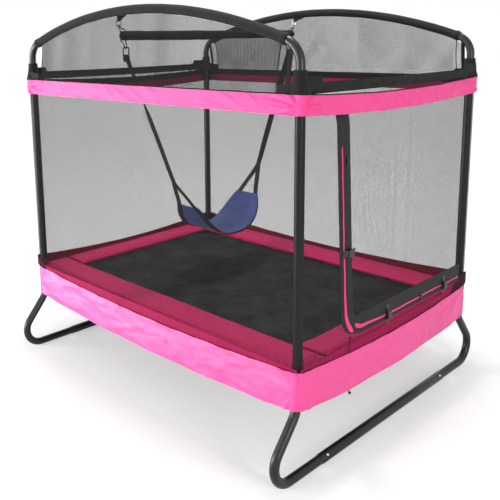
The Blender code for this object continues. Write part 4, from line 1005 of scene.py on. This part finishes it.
def build_tie():
    """End of a knotted tie that hangs out under the +X skirt."""
    foot = skirt_line(TIE_Y / NET_Y) - SKIRT_H
    out = NET_X + LAYER
    drop = [on_side("right", TIE_Y + y, out + x, foot + z) for y, x, z in
            ((0.0, 0.0025, 0.030), (0.001, 0.0045, 0.010), (-0.001, 0.0065, -0.008), (0.002, 0.0075, -0.019))]
    bm = tube_bm(smooth(drop, 5), 0.0026, 10)
    knot = [on_side("right", TIE_Y + 0.002 + 0.0034 * cos(t), out + 0.0075 + 0.0034 * sin(t),
                    foot - 0.014 + 0.0012 * sin(2 * t)) for t in turns(12)]
    tube_bm(knot, 0.0030, 10, True, bm)
    piece(add_object("skirt_tie", bm, "strap"), "strap")


def build_foot_band(side, *nodes):
    """Cloth at the foot of the net, behind a far skirt, coloured dark maroon: painted shade on the pink
    cloth's inner face.
    """
    half, depth = reach(side)

    def spot(i, v):
        s = 2 * i - 1
        out = depth + LAYER + 0.0010 + 0.0012 * (1 + wobble(s * 3, v, 0, 4.0))
        return on_side(side, s * (half + 0.001), out, skirt_line(s) + 0.0012 + (BAND_H - 0.0012) * v)

    cloth("foot_band_" + side, grid_of(120, 5, spot), 0.0014, "band", "band", *nodes,
          flat=(2 * half, BAND_H), rests_on=["net_" + side])


def build_net_hem(side):
    """Doubled net behind a near skirt: upright threads, and rows across them."""
    half, depth = reach(side)
    outward = SIDES[side][1]
    bm = bmesh.new()
    count = round(2 * half / NET_PITCH)
    for s in (-1 + 2 * (k + 0.5) / count for k in range(count)):
        if abs(s) < HEM_END:
            foot = on_side(side, s * half, depth + 0.0027, skirt_line(s))
            add_strand(bm, foot, foot + Z * BAND_H, HEM_STRAND, outward)
    for k in range(1, 17):
        line = [on_side(side, s * half * HEM_END, depth + 0.0031, skirt_line(s) + BAND_H * k / 16.5)
                for s in (-1 + 2 * j / 24 for j in range(25))]
        for a, b in zip(line, line[1:]):
            add_strand(bm, a, b, HEM_STRAND, outward)
    net_sheet("net_hem_" + side, bm, "net_hem", (2 * half, BAND_H), 0.32, "net_" + side)


def build_aprons():
    """Outer flap of each pad: it drops over the net into the skirt."""
    for side in SIDES:
        half, depth = reach(side)

        def spot(i, v):
            s = 2 * i - 1
            low = skirt_line(s) - 0.012
            return on_side(side, s * (half - 0.008), depth + 0.0017, low + (APRON_TOP - low) * v)

        # the apron look is lighter than the pad look: painted light
        cloth("pad_apron_" + side, grid_of(120, 4, spot), 0.0007, "apron", "pad",
              flat=(2 * half, APRON_H), rests_on=["pad_" + side])


def build_top_hem(side):
    """Dark top hem of a short side, which rises at its posts."""
    def spot(i, v):
        s = 2 * i - 1
        rise = clamp((abs(s) - 0.835) / 0.014)
        low = NET_TOP - 0.004 * (1 - s * s) + GAP
        out = NET_X + 0.0006 + 0.0022 * sin(pi * v) + 0.0016 * wobble(s * 2, v * 0.3, 0, 6.0)
        out += 0.0014 * crease(s, 0.0, v * 0.12, 5.0, 4.0)
        high = TRIM_H + (TRIM_RISE - TRIM_H - 0.015) * rise
        return on_side(side, s * (POST_Y + 0.010), out, low + high * v)

    cloth("top_hem_" + side, grid_of(120, 10, spot), 0.0026, "trim", "trim", "top_trim_" + side,
          flat=(2 * POST_Y, TRIM_RISE), area=0.62 * 2 * POST_Y * TRIM_RISE,
          rests_on=["post_front_" + side, "post_back_" + side])


def build_post_trim(name, sx, sy):
    """Flared collar round a post above the net, and a bolted patch beside it."""
    at = Vector((sx * POST_X, sy * POST_Y, NET_TOP))
    rings = []
    for v in (k / 17 for k in range(18)):
        rings.append([])
        for t in turns(32):
            fold = (0.0006 + 0.0022 * (1 - v)) * wobble(cos(t), sin(t), v * 0.6, 2.2, sx + sy)
            r = POST_R + 0.0032 + 0.0135 * (1 - v) ** 2 + fold
            rings[-1].append(at + Vector((r * cos(t), r * sin(t), 0.001 + COLLAR_H * v)))
    cloth("collar_" + name, rings, 0.0022, "trim", "trim", wrap_j=True, flat=(COLLAR_W, COLLAR_H),
          held="folded", rests_on=["post_" + name])

    def spot(i, v):
        x = POST_X - 0.010 - PATCH_W * i
        return on_side("back" if sy > 0 else "front", -sx * sy * x,
                       NET_Y + 0.0012 + 0.0012 * wobble(x * 3, v, 0, 5.0),
                       NET_TOP + 0.0008 + (0.040 - 0.008 * i) * v)

    cloth("corner_patch_" + name, grid_of(14, 5, spot), 0.0018, "trim", "trim", flat=(PATCH_W, PATCH_H),
          rests_on=["post_" + name])
    bolt = at + Vector((sx * (NET_X + 0.0040 - POST_X), -sy * 0.012, 0.014))
    build_fastener("patch_bolt_" + name, BOLT, bolt, X * sx, 18, "buckle")


def build_corner_tabs():
    """Dark patches low in the nets' corners, the largest beside the door's far end."""
    for side, sign, end in (("front", -1, "a"), ("right", 1, "b"), ("back", -1, "a"), ("back", 1, "b"),
                            ("left", -1, "a"), ("left", 1, "b")):
        half, depth = reach(side)
        wide, high, power, share = BIG_TAB if side == "right" else TAB

        def spot(i, v):
            s = sign * (1 - i * wide / half)
            top = high * (1 - i ** power) + 0.001
            return on_side(side, s * (half - 0.002), depth + 0.0022, skirt_line(s) + 0.0005 + top * v)

        cloth("corner_tab_%s_%s" % (side, end), grid_of(12, 5, spot), 0.0008, "trim", "trim",
              flat=(wide, high), area=wide * high * share, rests_on=["net_" + side])


def build_sleeves():
    """Cloth over each arch, ruffled at its ends."""
    span = asin(SLEEVE_END / CROWN_RADIUS)
    for side in LONG:
        y = middle("arch_tube_" + side).y
        rings = []
        for share in (0.5 + 0.5 * gathered(-1 + 2 * i / 220) for i in range(221)):
            near = min(share, 1 - share)
            end = near * 2 * CROWN_RADIUS * span
            lean = span * (2 * share - 1)
            centre = Vector((CROWN_RADIUS * sin(lean), y, ARCH_TOP - CROWN_RADIUS * (1 - cos(lean))))
            up = Vector((sin(lean), 0, cos(lean)))
            rings.append([])
            for t in turns(24):
                loose = 0.0008 * wobble(centre.x * 3, cos(t) * 0.5, sin(t) * 0.5, 4.0)
                ruff = 0.0006 * sin(9 * t) * exp(-near * 60)
                cuff = (0.0026 + 0.0010 * sin(5 * t + 1)) * exp(-((end - 0.013) / 0.009) ** 2)
                r = 0.0196 + loose + ruff + cuff
                rings[-1].append(centre + Y * (r * cos(t)) + up * (r * sin(t)))
        cloth("sleeve_" + side, rings, 0.0014, "sleeve", "sleeve", "arch_sleeve_" + side, wrap_j=True)


# ---------------------------------------------------------------- mat, hem and lacing
def build_mat():
    def spot(i, j):
        x, y = MAT_X * (2 * i - 1), MAT_Y * (2 * j - 1)
        dip = 0.0006 * wobble(x, y, 0, 3.0) + 0.0004 * wobble(x, y, 0, 11.0)
        return Vector((x, y, (MAT_TOP + MAT_LOW) / 2 + dip))

    cloth("mat_cloth", grid_of(102, 66, spot), MAT_TOP - MAT_LOW, "mat", "mat", "jump_mat", body="mat",
          flat=(2 * MAT_X, 2 * MAT_Y), rests_on=["elastic_lacing"])
    lines = []
    for inset in (0.006, 0.027):
        corners = [Vector((sx * (MAT_X - inset), sy * (MAT_Y - inset), MAT_TOP + 0.0006))
                   for sx, sy in ((-1, -1), (1, -1), (1, 1), (-1, 1))]
        for a, b in zip(corners, corners[1:] + corners[:1]):
            lines.append(([a.lerp(b, k / 20) for k in range(21)], [Z] * 21))
    stitches("mat_stitching", lines, "black_thread", "hem", body="mat")
    low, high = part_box("mat_hem")
    level = (low.z + high.z) / 2
    bm = None
    for sign, swap in ((-1, False), (1, False), (-1, True), (1, True)):
        def strip(i, j):
            a = (high.y * 0.958 if swap else high.x) * (2 * i - 1)
            b = sign * ((high.x if swap else high.y) - HEM_W * j)
            return Vector((b, a, level) if swap else (a, b, level))

        bm = cloth_bm(grid_of(40, 3, strip), (high.z - low.z) * 0.9, bm=bm)
    piece(add_object("hem_webbing", bm, "hem"), "hem", "mat_hem", body="mat")


def build_lacing():
    """Elastic cord from the mat's edge round the rails, in four runs."""
    wrap = RAIL_R + GAP + LACE_R + 0.0004
    in_z = MAT_LOW - 0.0022
    for side in SIDES:
        half, rail, edge, loops = (MAT_X, POST_Y, MAT_Y, 7) if side in LONG else (MAT_Y, POST_X, MAT_X, 4)
        near = edge + GAP + LACE_R + 0.0001
        span = 2 * (half - LACE_MARGIN) / loops
        pts = []
        for i in range(loops):
            x0 = LACE_MARGIN - half + span * (i + 0.08)
            x1 = x0 + span * 0.84
            turn = [(x, radians(101.0 - 22.5 * j)) for j, x in
                    enumerate((x0 + x1) / 2 - 0.010 + 0.002 * k for k in range(11))]
            pts += [on_side(side, x0, near, in_z),
                    *(on_side(side, x, rail + wrap * cos(t), RAIL_Z + wrap * sin(t)) for x, t in turn),
                    on_side(side, x1, near, in_z)]
        lace = add_object("lacing_" + side, tube_bm(smooth(pts, 3), LACE_R * 0.95, 8), "lace", 50.0)
        if side == "front":
            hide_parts("elastic_lacing")
        on_side(side, 0, rail - RAIL_R - 0.006, RAIL_Z)
        on_side(side, 0, near + 0.002, RAIL_Z)
        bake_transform(lace)


# ---------------------------------------------------------------- pads
def build_pad(side):
    """The pad's solid, remeshed and blown up a little as cloth, as far as a cap allows."""
    name = "pad_" + side
    ob = add_to_scene("pad_cushion_" + side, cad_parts[name].data.copy())
    ob.data.materials.clear()
    ob.data.materials.append(LOOKS["pad"])
    low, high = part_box(name)
    centre = (low + high) / 2
    for vertex in ob.data.vertices:
        vertex.co.z = centre.z + (vertex.co.z - centre.z) * 0.74
    remesh = ob.modifiers.new("remesh", "REMESH")
    remesh.mode = "VOXEL"
    remesh.voxel_size = PAD_VOXEL
    apply_modifiers(ob)
    rest = [v.co.copy() for v in ob.data.vertices]
    swell(ob)
    for vertex, was in zip(ob.data.vertices, rest):
        move = vertex.co - was
        if move.length > PAD_CAP:
            vertex.co = was + move * (PAD_CAP / move.length)
    ob.modifiers.new("finer", "SUBSURF").levels = 1
    apply_modifiers(ob)
    press = 0.0 if side in LONG else PAD_PRESS
    for vertex in ob.data.vertices:
        p = vertex.co
        top = max(0.0, (p.z - centre.z) / (high.z - centre.z))
        dent = 0.0016 * wobble(p.x, p.y, 0, 9.0) + 0.0009 * wobble(p.x, p.y, 0, 24.0, 3.0)
        p.z = clamp(p.z + dent * min(1.0, top * 1.5), low.z, high.z + 0.004)
        p.x = clamp(p.x, low.x, high.x)
        p.y = clamp(p.y, low.y, high.y)
        p.y += copysign(press * max(0.0, 1 - (high.y - abs(p.y)) / 0.04), p.y)
    ob.data.shade_smooth()
    piece(ob, "pad", name)


def apply_modifiers(ob):
    graph = bpy.context.evaluated_depsgraph_get()
    me = bpy.data.meshes.new_from_object(ob.evaluated_get(graph))
    ob.modifiers.clear()
    ob.data = me


def swell(ob):
    scene = bpy.context.scene
    mod = ob.modifiers.new("cloth", "CLOTH")
    mod.settings.use_pressure = True
    mod.settings.uniform_pressure_force = 4.0
    mod.settings.quality = 4
    mod.settings.effector_weights.gravity = 0.0
    mod.point_cache.frame_start, mod.point_cache.frame_end = 1, 14
    for step in range(1, 15):
        scene.frame_set(step)
    apply_modifiers(ob)
    scene.frame_set(1)


# ---------------------------------------------------------------- zip door
def zip_path():
    """Centre line of the zip in (y, z): down the side, round a corner, along the bottom."""
    radius = ZIP_BEND_Z - ZIP_BOTTOM
    start = ZIP_Y_LOW + radius
    pts = [(ZIP_Y_TOP + (ZIP_Y_LOW - ZIP_Y_TOP) * k / 30, ZIP_TOP - (ZIP_TOP - ZIP_BEND_Z) * k / 30)
           for k in range(31)]
    pts += [(ZIP_Y_LOW + radius * (1 - cos(t)), ZIP_BEND_Z - radius * sin(t))
            for t in (pi / 2 * k / 8 for k in range(1, 9))]
    pts += [(start + (ZIP_Y_END - start) * k / 32, ZIP_BOTTOM) for k in range(1, 33)]
    pts = [Vector(p) for p in pts]
    step = (pts[0] - pts[1]).normalized()
    return [pts[0] + step * d for d in (0.030, 0.020, 0.010)] + pts


def normals_along(pts):
    """Normals of a flat path, to the left of the way it runs."""
    steps = [(pts[min(i + 1, len(pts) - 1)] - pts[max(i - 1, 0)]).normalized() for i in range(len(pts))]
    return [Vector((-t.y, t.x)) for t in steps]


def zip_out(z):
    """How far out the tapes lie: their top end slips in under the belt."""
    return ZIP_X + TAPE_T / 2 + 0.0002 - 0.0052 * clamp((z - (ZIP_TOP - 0.006)) / 0.018)


def zip_spot(p, n, share, lift=0.0):
    """Point beside the zip, at a share of its dark border: towards the flap above 0, the net below."""
    turn = clamp((p.x - ZIP_Y_LOW) / 0.075)
    turn = turn * turn * (3 - 2 * turn)
    outside, inside = (a + (b - a) * turn for a, b in zip(BORDER_SIDE, BORDER_FOOT))
    a = share * (inside if share > 0 else outside)
    wave = 0.0006 * abs(wobble(p.x * 3, p.y * 3, a * 20, 3.0)) * clamp(3 * abs(share) - 0.8)
    return Vector((zip_out(p.y + n.y * a) + lift + wave, p.x + n.x * a, p.y + n.y * a))


def build_zip():
    """Two dark borders with a row of teeth between them, and the pink edge of the flap that shows."""
    pts = zip_path()
    normals = normals_along(pts)
    for start, end, name, nodes in ((0.008, 1.0, "inside", ()), (-1.0, -0.008, "outside", ("zip_tape",))):
        rows = [[zip_spot(p, n, start + (end - start) * j / 9) for j in range(10)]
                for p, n in zip(pts, normals)]
        cloth("zip_tape_" + name, rows, TAPE_T * 0.8, "tape", "zip", *nodes,
              flat=(TAPE_W, lengths_along([row[4] for row in rows])[-1]), rests_on=["net_right"])
    lines = [[zip_spot(p, n, share, 0.0010) for p, n in zip(pts, normals)][4:-1]
             for share in (0.90, 0.32, -0.24, -0.92)]
    stitches("zip_stitching", [(line, [X] * len(line)) for line in lines], "black_thread", "zip")
    bm = bmesh.new()
    centre = [Vector((zip_out(p.y) + 0.0006, p.x, p.y)) for p in pts[4:]]
    for k, (at, along, i) in enumerate(resample(centre, TOOTH_PITCH)):
        side = along.cross(X).normalized() * (1 if k % 2 else -1)
        add_box(bm, TOOTH, at + side * 0.0008, 0.0003, Matrix((X, side, along)).transposed())
    piece(add_object("zip_teeth", bm, "teeth"), "zip")
    build_pink_edge(pts, normals)
    top = Vector((ZIP_X - 0.0012, ZIP_Y_LOW + 0.012, ZIP_BOTTOM - 0.024))
    low = Vector((ZIP_X - 0.0012, ZIP_Y_LOW + 0.006, skirt_line(0.53) + 0.004))
    seam = [top.lerp(low, k / 8) + Y * (0.0012 * wobble(k * 0.3, 0, 0, 3.0)) for k in range(9)]
    tube("flap_seam", smooth(seam, 3), 0.0016, "trim", 8, "trim")
    knot = [top + Vector((0.0015, 0.004 * cos(t), 0.004 * sin(t))) for t in turns(10)]
    tube("flap_knot", knot, 0.0024, "trim", 8, "trim", closed=True)


def build_pink_edge(pts, normals):
    """Wavy pink edge between the tapes, widest where the zip turns the corner."""
    bm = None
    corner = Vector((ZIP_Y_LOW + 0.02, ZIP_BOTTOM + 0.03))
    for start, end in PINK_RUNS:
        upright = start[1] != end[1]
        low, high = sorted((start[upright], end[upright]))
        rows = []
        for at, along, i in resample([Vector((0.0, p.x, p.y)) for p in pts], 0.008):
            p, n = at.yz, normals[i]
            run = p[upright]
            beside = p.x < ZIP_Y_LOW + 0.045 if upright else p.x > ZIP_Y_LOW + 0.030
            if not (low <= run <= high and beside):
                continue
            near = exp(-(p - corner).length / 0.12)
            wide = 0.0034 + 0.0075 * near + 0.0008 * wobble(p.x, p.y, 0, 14.0)
            wide *= min(1.0, 0.25 + min(run - low, high - run) / 0.02)
            shift = (-0.031 if upright else 0.0) + 0.0042 * wobble(p.x, p.y, 0, 11.0, 6.0) + 0.006 * near
            rows.append([])
            for j in range(5):
                spot = p + n * (shift + wide * (j / 2 - 1))
                rows[-1].append(Vector((zip_out(p.y) + 0.0016 + 0.0014 * sin(pi * j / 4), *spot)))
        bm = cloth_bm(rows, 0.0009, bm=bm)
    piece(add_object("flap_edge", bm, "pink_line", 50.0), "zip")


# ---------------------------------------------------------------- swing
def strap_twist(side, share):
    """How far a strap is turned about its length, from the fork at 0 up to its ring at 1."""
    if side == "front":
        return radians(-43.0) * exp(-((share - 0.72) / 0.13) ** 2)
    return radians(38.0) * min(1.0, share / 0.3) * (1 - share ** 8)


def strap_loop():
    """Top of a strap in (y, z): a short tail, then round the ring's lower wire."""
    cz = RING_Z - RING_H
    bend = arc(RING_Y, cz, LOOP_R, pi / 10, pi * 0.9, 8)
    return [Vector(p) for p in ((RING_Y + 0.0036, cz - 0.026), (RING_Y + LOOP_R, cz - 0.006), *bend,
                                (RING_Y - LOOP_R, cz - 0.003))]


def swing_profile():
    """The sling's path in (y, z), from one strap ring down to the seat and up to the other."""
    top = Vector((RING_Y - LOOP_R - 0.004, RING_Z - RING_H - 0.022))
    fork, end = Vector((FORK_Y, FORK_Z)), Vector((SEAT_Y, SEAT_END_Z))
    key = [top.lerp(fork, t) for t in (0.0, 0.32, 0.73)]
    key += [fork.lerp(end, t) for t in (0.0, 0.62, 1.0)]
    key += [Vector((SEAT_Y * share, SEAT_Z + (SEAT_END_Z - SEAT_Z) * share ** 2.8))
            for share in (0.83, 0.61, 0.33, 0.0)]
    return smooth(key + [Vector((-p.x, p.y)) for p in reversed(key[:-1])], 9)


def seat_half(z):
    t = clamp((SEAT_END_Z - z) / (SEAT_END_Z - SEAT_Z))
    return SEAT_END_HALF + (SEAT_MID_HALF - SEAT_END_HALF) * sin(t * pi / 2) ** 0.8


def fork_centre(z):
    if z >= SEAT_END_Z:
        return (FORK_Z - z) / (FORK_Z - SEAT_END_Z) * (SEAT_END_HALF - STRAP_W / 2)
    return seat_half(z) - STRAP_W / 2


def build_straps():
    path = swing_profile()
    half = path[:(len(path) + 1) // 2]
    band = strap_loop() + [p for p in half if p.y >= FORK_Z - 0.001]
    forked = [p for p in half if p.y <= FORK_Z + 0.012]
    forked[-1] = forked[-1] + Vector((GAP, 0))
    for side, sign in (("front", -1), ("back", 1)):
        rows = []
        for p in band:
            share = clamp((p.y - FORK_Z) / (RING_Z - RING_H - FORK_Z))
            turn = strap_twist(side, share)
            across = Vector((cos(turn), sin(turn), 0)) * (STRAP_W * (1.12 + 0.10 * share))
            rows.append([Vector((SWING_X, sign * p.x, p.y)) + across * (j / 4 - 0.5) for j in range(5)])
        bm = cloth_bm(rows, STRAP_T)
        for leg in (-1, 1):
            rows = []
            for p in forked:
                c = leg * fork_centre(min(p.y, FORK_Z))
                lay = 0.0012 * leg if p.y > FORK_Z - 0.03 else 0.0
                rows.append([Vector((SWING_X + c + STRAP_W * 1.12 * (j / 4 - 0.5), sign * (p.x + lay), p.y))
                             for j in range(5)])
            bm = cloth_bm(rows, STRAP_T * 0.9, bm=bm)
        piece(add_object("webbing_strap_" + side, bm, "strap"), "strap", "swing_strap_" + side, body="swing")


def build_seat():
    pts = [p for p in swing_profile() if p.y <= SEAT_END_Z + 0.001]
    rows = []
    for p, n in zip(pts, normals_along(pts)):
        rows.append([])
        for u in (-1 + 2 * j / 24 for j in range(25)):
            fold = 0.0022 * wobble(u * 1.4, p.x * 1.5, 0, 2.2) * (1 - u ** 6) + 0.004 * abs(u) ** 3
            spot = p - n * (STRAP_T / 2 + GAP + SEAT_T / 2 + fold)
            rows[-1].append(Vector((SWING_X + seat_half(p.y) * u, *spot)))
    flat = (2 * SEAT_MID_HALF, lengths_along([row[12] for row in rows])[-1])
    cloth("sling_seat", rows, SEAT_T * 0.7, "seat", "seat", "swing_seat", body="swing", flat=flat,
          area=0.86 * flat[0] * flat[1], held="hung", rests_on=["swing_strap_front", "swing_strap_back"])


def build_bar():
    """Padded cover of the spreader bar, drawn in at its ends."""
    rings = []
    for share in (i / 120 for i in range(121)):
        y = BAR_HALF * (-1 + 2 * share)
        end = min(share, 1 - share) * 2 * BAR_HALF
        rings.append([])
        for t in turns(24):
            r = BAR_R + 0.0022 + 0.0022 * wobble(cos(t), y * 2.5, sin(t), 1.6)
            r += 0.0010 * crease(y * 2.0, cos(t) * 0.4, sin(t) * 0.4, 5.0, 1.0)
            r += 0.0012 * sin(8 * t) * exp(-end / 0.03)
            r *= 0.72 + 0.28 * min(1.0, end / 0.006)
            rings[-1].append(Vector((SWING_X + r * cos(t), y, BAR_Z + r * sin(t))))
    piece(add_object("bar_cover", capped_bm(rings), "bar"), "bar", "spreader_bar", body="swing")


def build_hook_tabs():
    """Webbing that is gathered from the arch's sleeve down to the hook and folded round its top."""
    top = ARCH_TOP - SLEEVE_R * 0.93
    for side, sign in (("front", -1), ("back", 1)):
        def spot(v, j):
            u = 2 * j - 1
            fold = 0.0022 * sin(u * 7.0 + v * 2.0) * sin(pi * min(1.0, v + 0.25))
            x = SWING_X + 0.040 * (1 - v) ** 1.2 + (0.036 * (1 - v) ** 1.6 + 0.010) * u
            y = POST_Y - 0.0070 - 0.0090 * min(1.0, v * 1.3) + fold
            z = top + (PIVOT_Z - 0.0075 - top) * v
            z += (1 - v) * (0.004 * (1 - u * u) - (x * x - SWING_X ** 2) / (2 * CROWN_RADIUS))
            return Vector((x, sign * y, z))

        cloth("hook_tab_" + side, grid_of(14, 8, spot), 0.0022, "sleeve", "sleeve", flat=HOOK_TAB,
              held="gathered", rests_on=["sleeve_" + side])


def cord_loop(sign):
    """Closed cord: over the hook's foot, either side of the bar's end, under the ring's top wire."""
    top_z = PIVOT_Z - HOOK_H
    bight = HOOK_WIRE + CORD_R + 0.0006
    low = RING_WIRE + CORD_R + 0.0006
    outer, inner = BAR_HALF + CORD_R + 0.0008, BAR_HALF - 0.024
    pts = [(x, SWING_Y, z) for x, z in arc(0.0, top_z, bight, 0.0, pi, 4)]
    pts += [(-bight * 0.75, SWING_Y - 0.003, top_z - 0.008), (0.0, outer, BAR_Z + BAR_R + 0.0005),
            (0.0, outer, BAR_Z - BAR_R), (0.0, RING_Y + low + 0.006, RING_Z + 0.014)]
    pts += [(0.0, y, z) for y, z in arc(RING_Y, RING_Z, low, 0.0, -pi, 4)]
    pts += [(0.0, inner, BAR_Z - BAR_R - 0.002), (0.0, inner, BAR_Z + BAR_R + 0.004),
            (bight * 0.75, SWING_Y - 0.010, top_z - 0.008)]
    return [Vector((SWING_X + x, sign * y, z)) for x, y, z in pts]


def build_fittings(side, sign):
    """Hook, cord loop and strap ring of one side of the swing."""
    at = Vector((SWING_X, sign * SWING_Y, PIVOT_Z))
    oval = arc(0.0, -HOOK_W, HOOK_W, 0.0, pi, 12) + arc(0.0, -HOOK_H + HOOK_W, HOOK_W, pi, 2 * pi, 12)
    bm = tube_bm([at + Vector((0, y, z)) for y, z in oval], HOOK_WIRE * 1.12, 12, True)
    gate = [at + Vector(p) for p in
            ((0.0006, 0.0108, -0.0085), (0.0006, 0.0112, -0.0150), (0.0006, 0.0106, -0.0215))]
    tube_bm(gate, HOOK_WIRE * 1.45, 10, bm=bm)
    tube_bm([at - Z * z for z in (0.0262, 0.0300, 0.0338)], HOOK_WIRE * 1.7, 12, bm=bm)
    piece(add_object("snap_hook_" + side, bm, "chrome"), "metal", "swing_hook_" + side, body="swing")
    tube("cord_loop_" + side, smooth(cord_loop(sign), 4, True), CORD_R * 0.96, "strap", 10, "strap",
         "swing_cord_" + side, body="swing", closed=True)
    cut = RING_CORNER
    ring = []
    for k, (cx, cz) in enumerate(((1, 0), (-1, 0), (-1, -1), (1, -1))):
        ring += arc(cx * (RING_HALF - cut), RING_Z - cut + cz * (RING_H - 2 * cut), cut,
                    pi / 2 * k, pi / 2 * (k + 1), 5)
    tube("strap_link_" + side, [Vector((SWING_X + x, sign * RING_Y, z)) for x, z in ring], RING_WIRE,
         "buckle", 12, "buckle", "strap_ring_" + side, body="swing", closed=True)


# ---------------------------------------------------------------- what keeps its solid
def dress_nodes():
    """Solids whose shape is right keep it and get a finish."""
    for name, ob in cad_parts.items():
        steel = name.startswith("corner_socket") or "rail" in name
        if steel or name.startswith(("zip_slider", "buckle")):
            ob.data.materials.clear()
            ob.data.materials.append(LOOKS["steel" if steel else "buckle"])
            ob.data.shade_smooth()
            ob.data.set_sharp_from_angle(angle=radians(38))


bpy.context.scene.view_settings.view_transform = "Standard"
LOOKS = make_looks()
make_camera()
make_world()
make_floor()
make_lamps()
for side in SIDES:
    build_pad(side)
build_tubes()
build_nets()
build_belt()
build_skirts()
build_tie()
build_foot_band("back", "net_bottom_band")
build_foot_band("left")
build_net_hem("front")
build_net_hem("right")
build_corner_tabs()
for side in ("right", "left"):
    build_top_hem(side)
for name, (sx, sy) in CORNERS.items():
    build_post_trim(name, sx, sy)
build_aprons()
build_sleeves()
build_hook_tabs()
build_mat()
build_lacing()
build_zip()
build_fittings("front", -1)
build_fittings("back", 1)
build_bar()
build_straps()
build_seat()
dress_nodes()
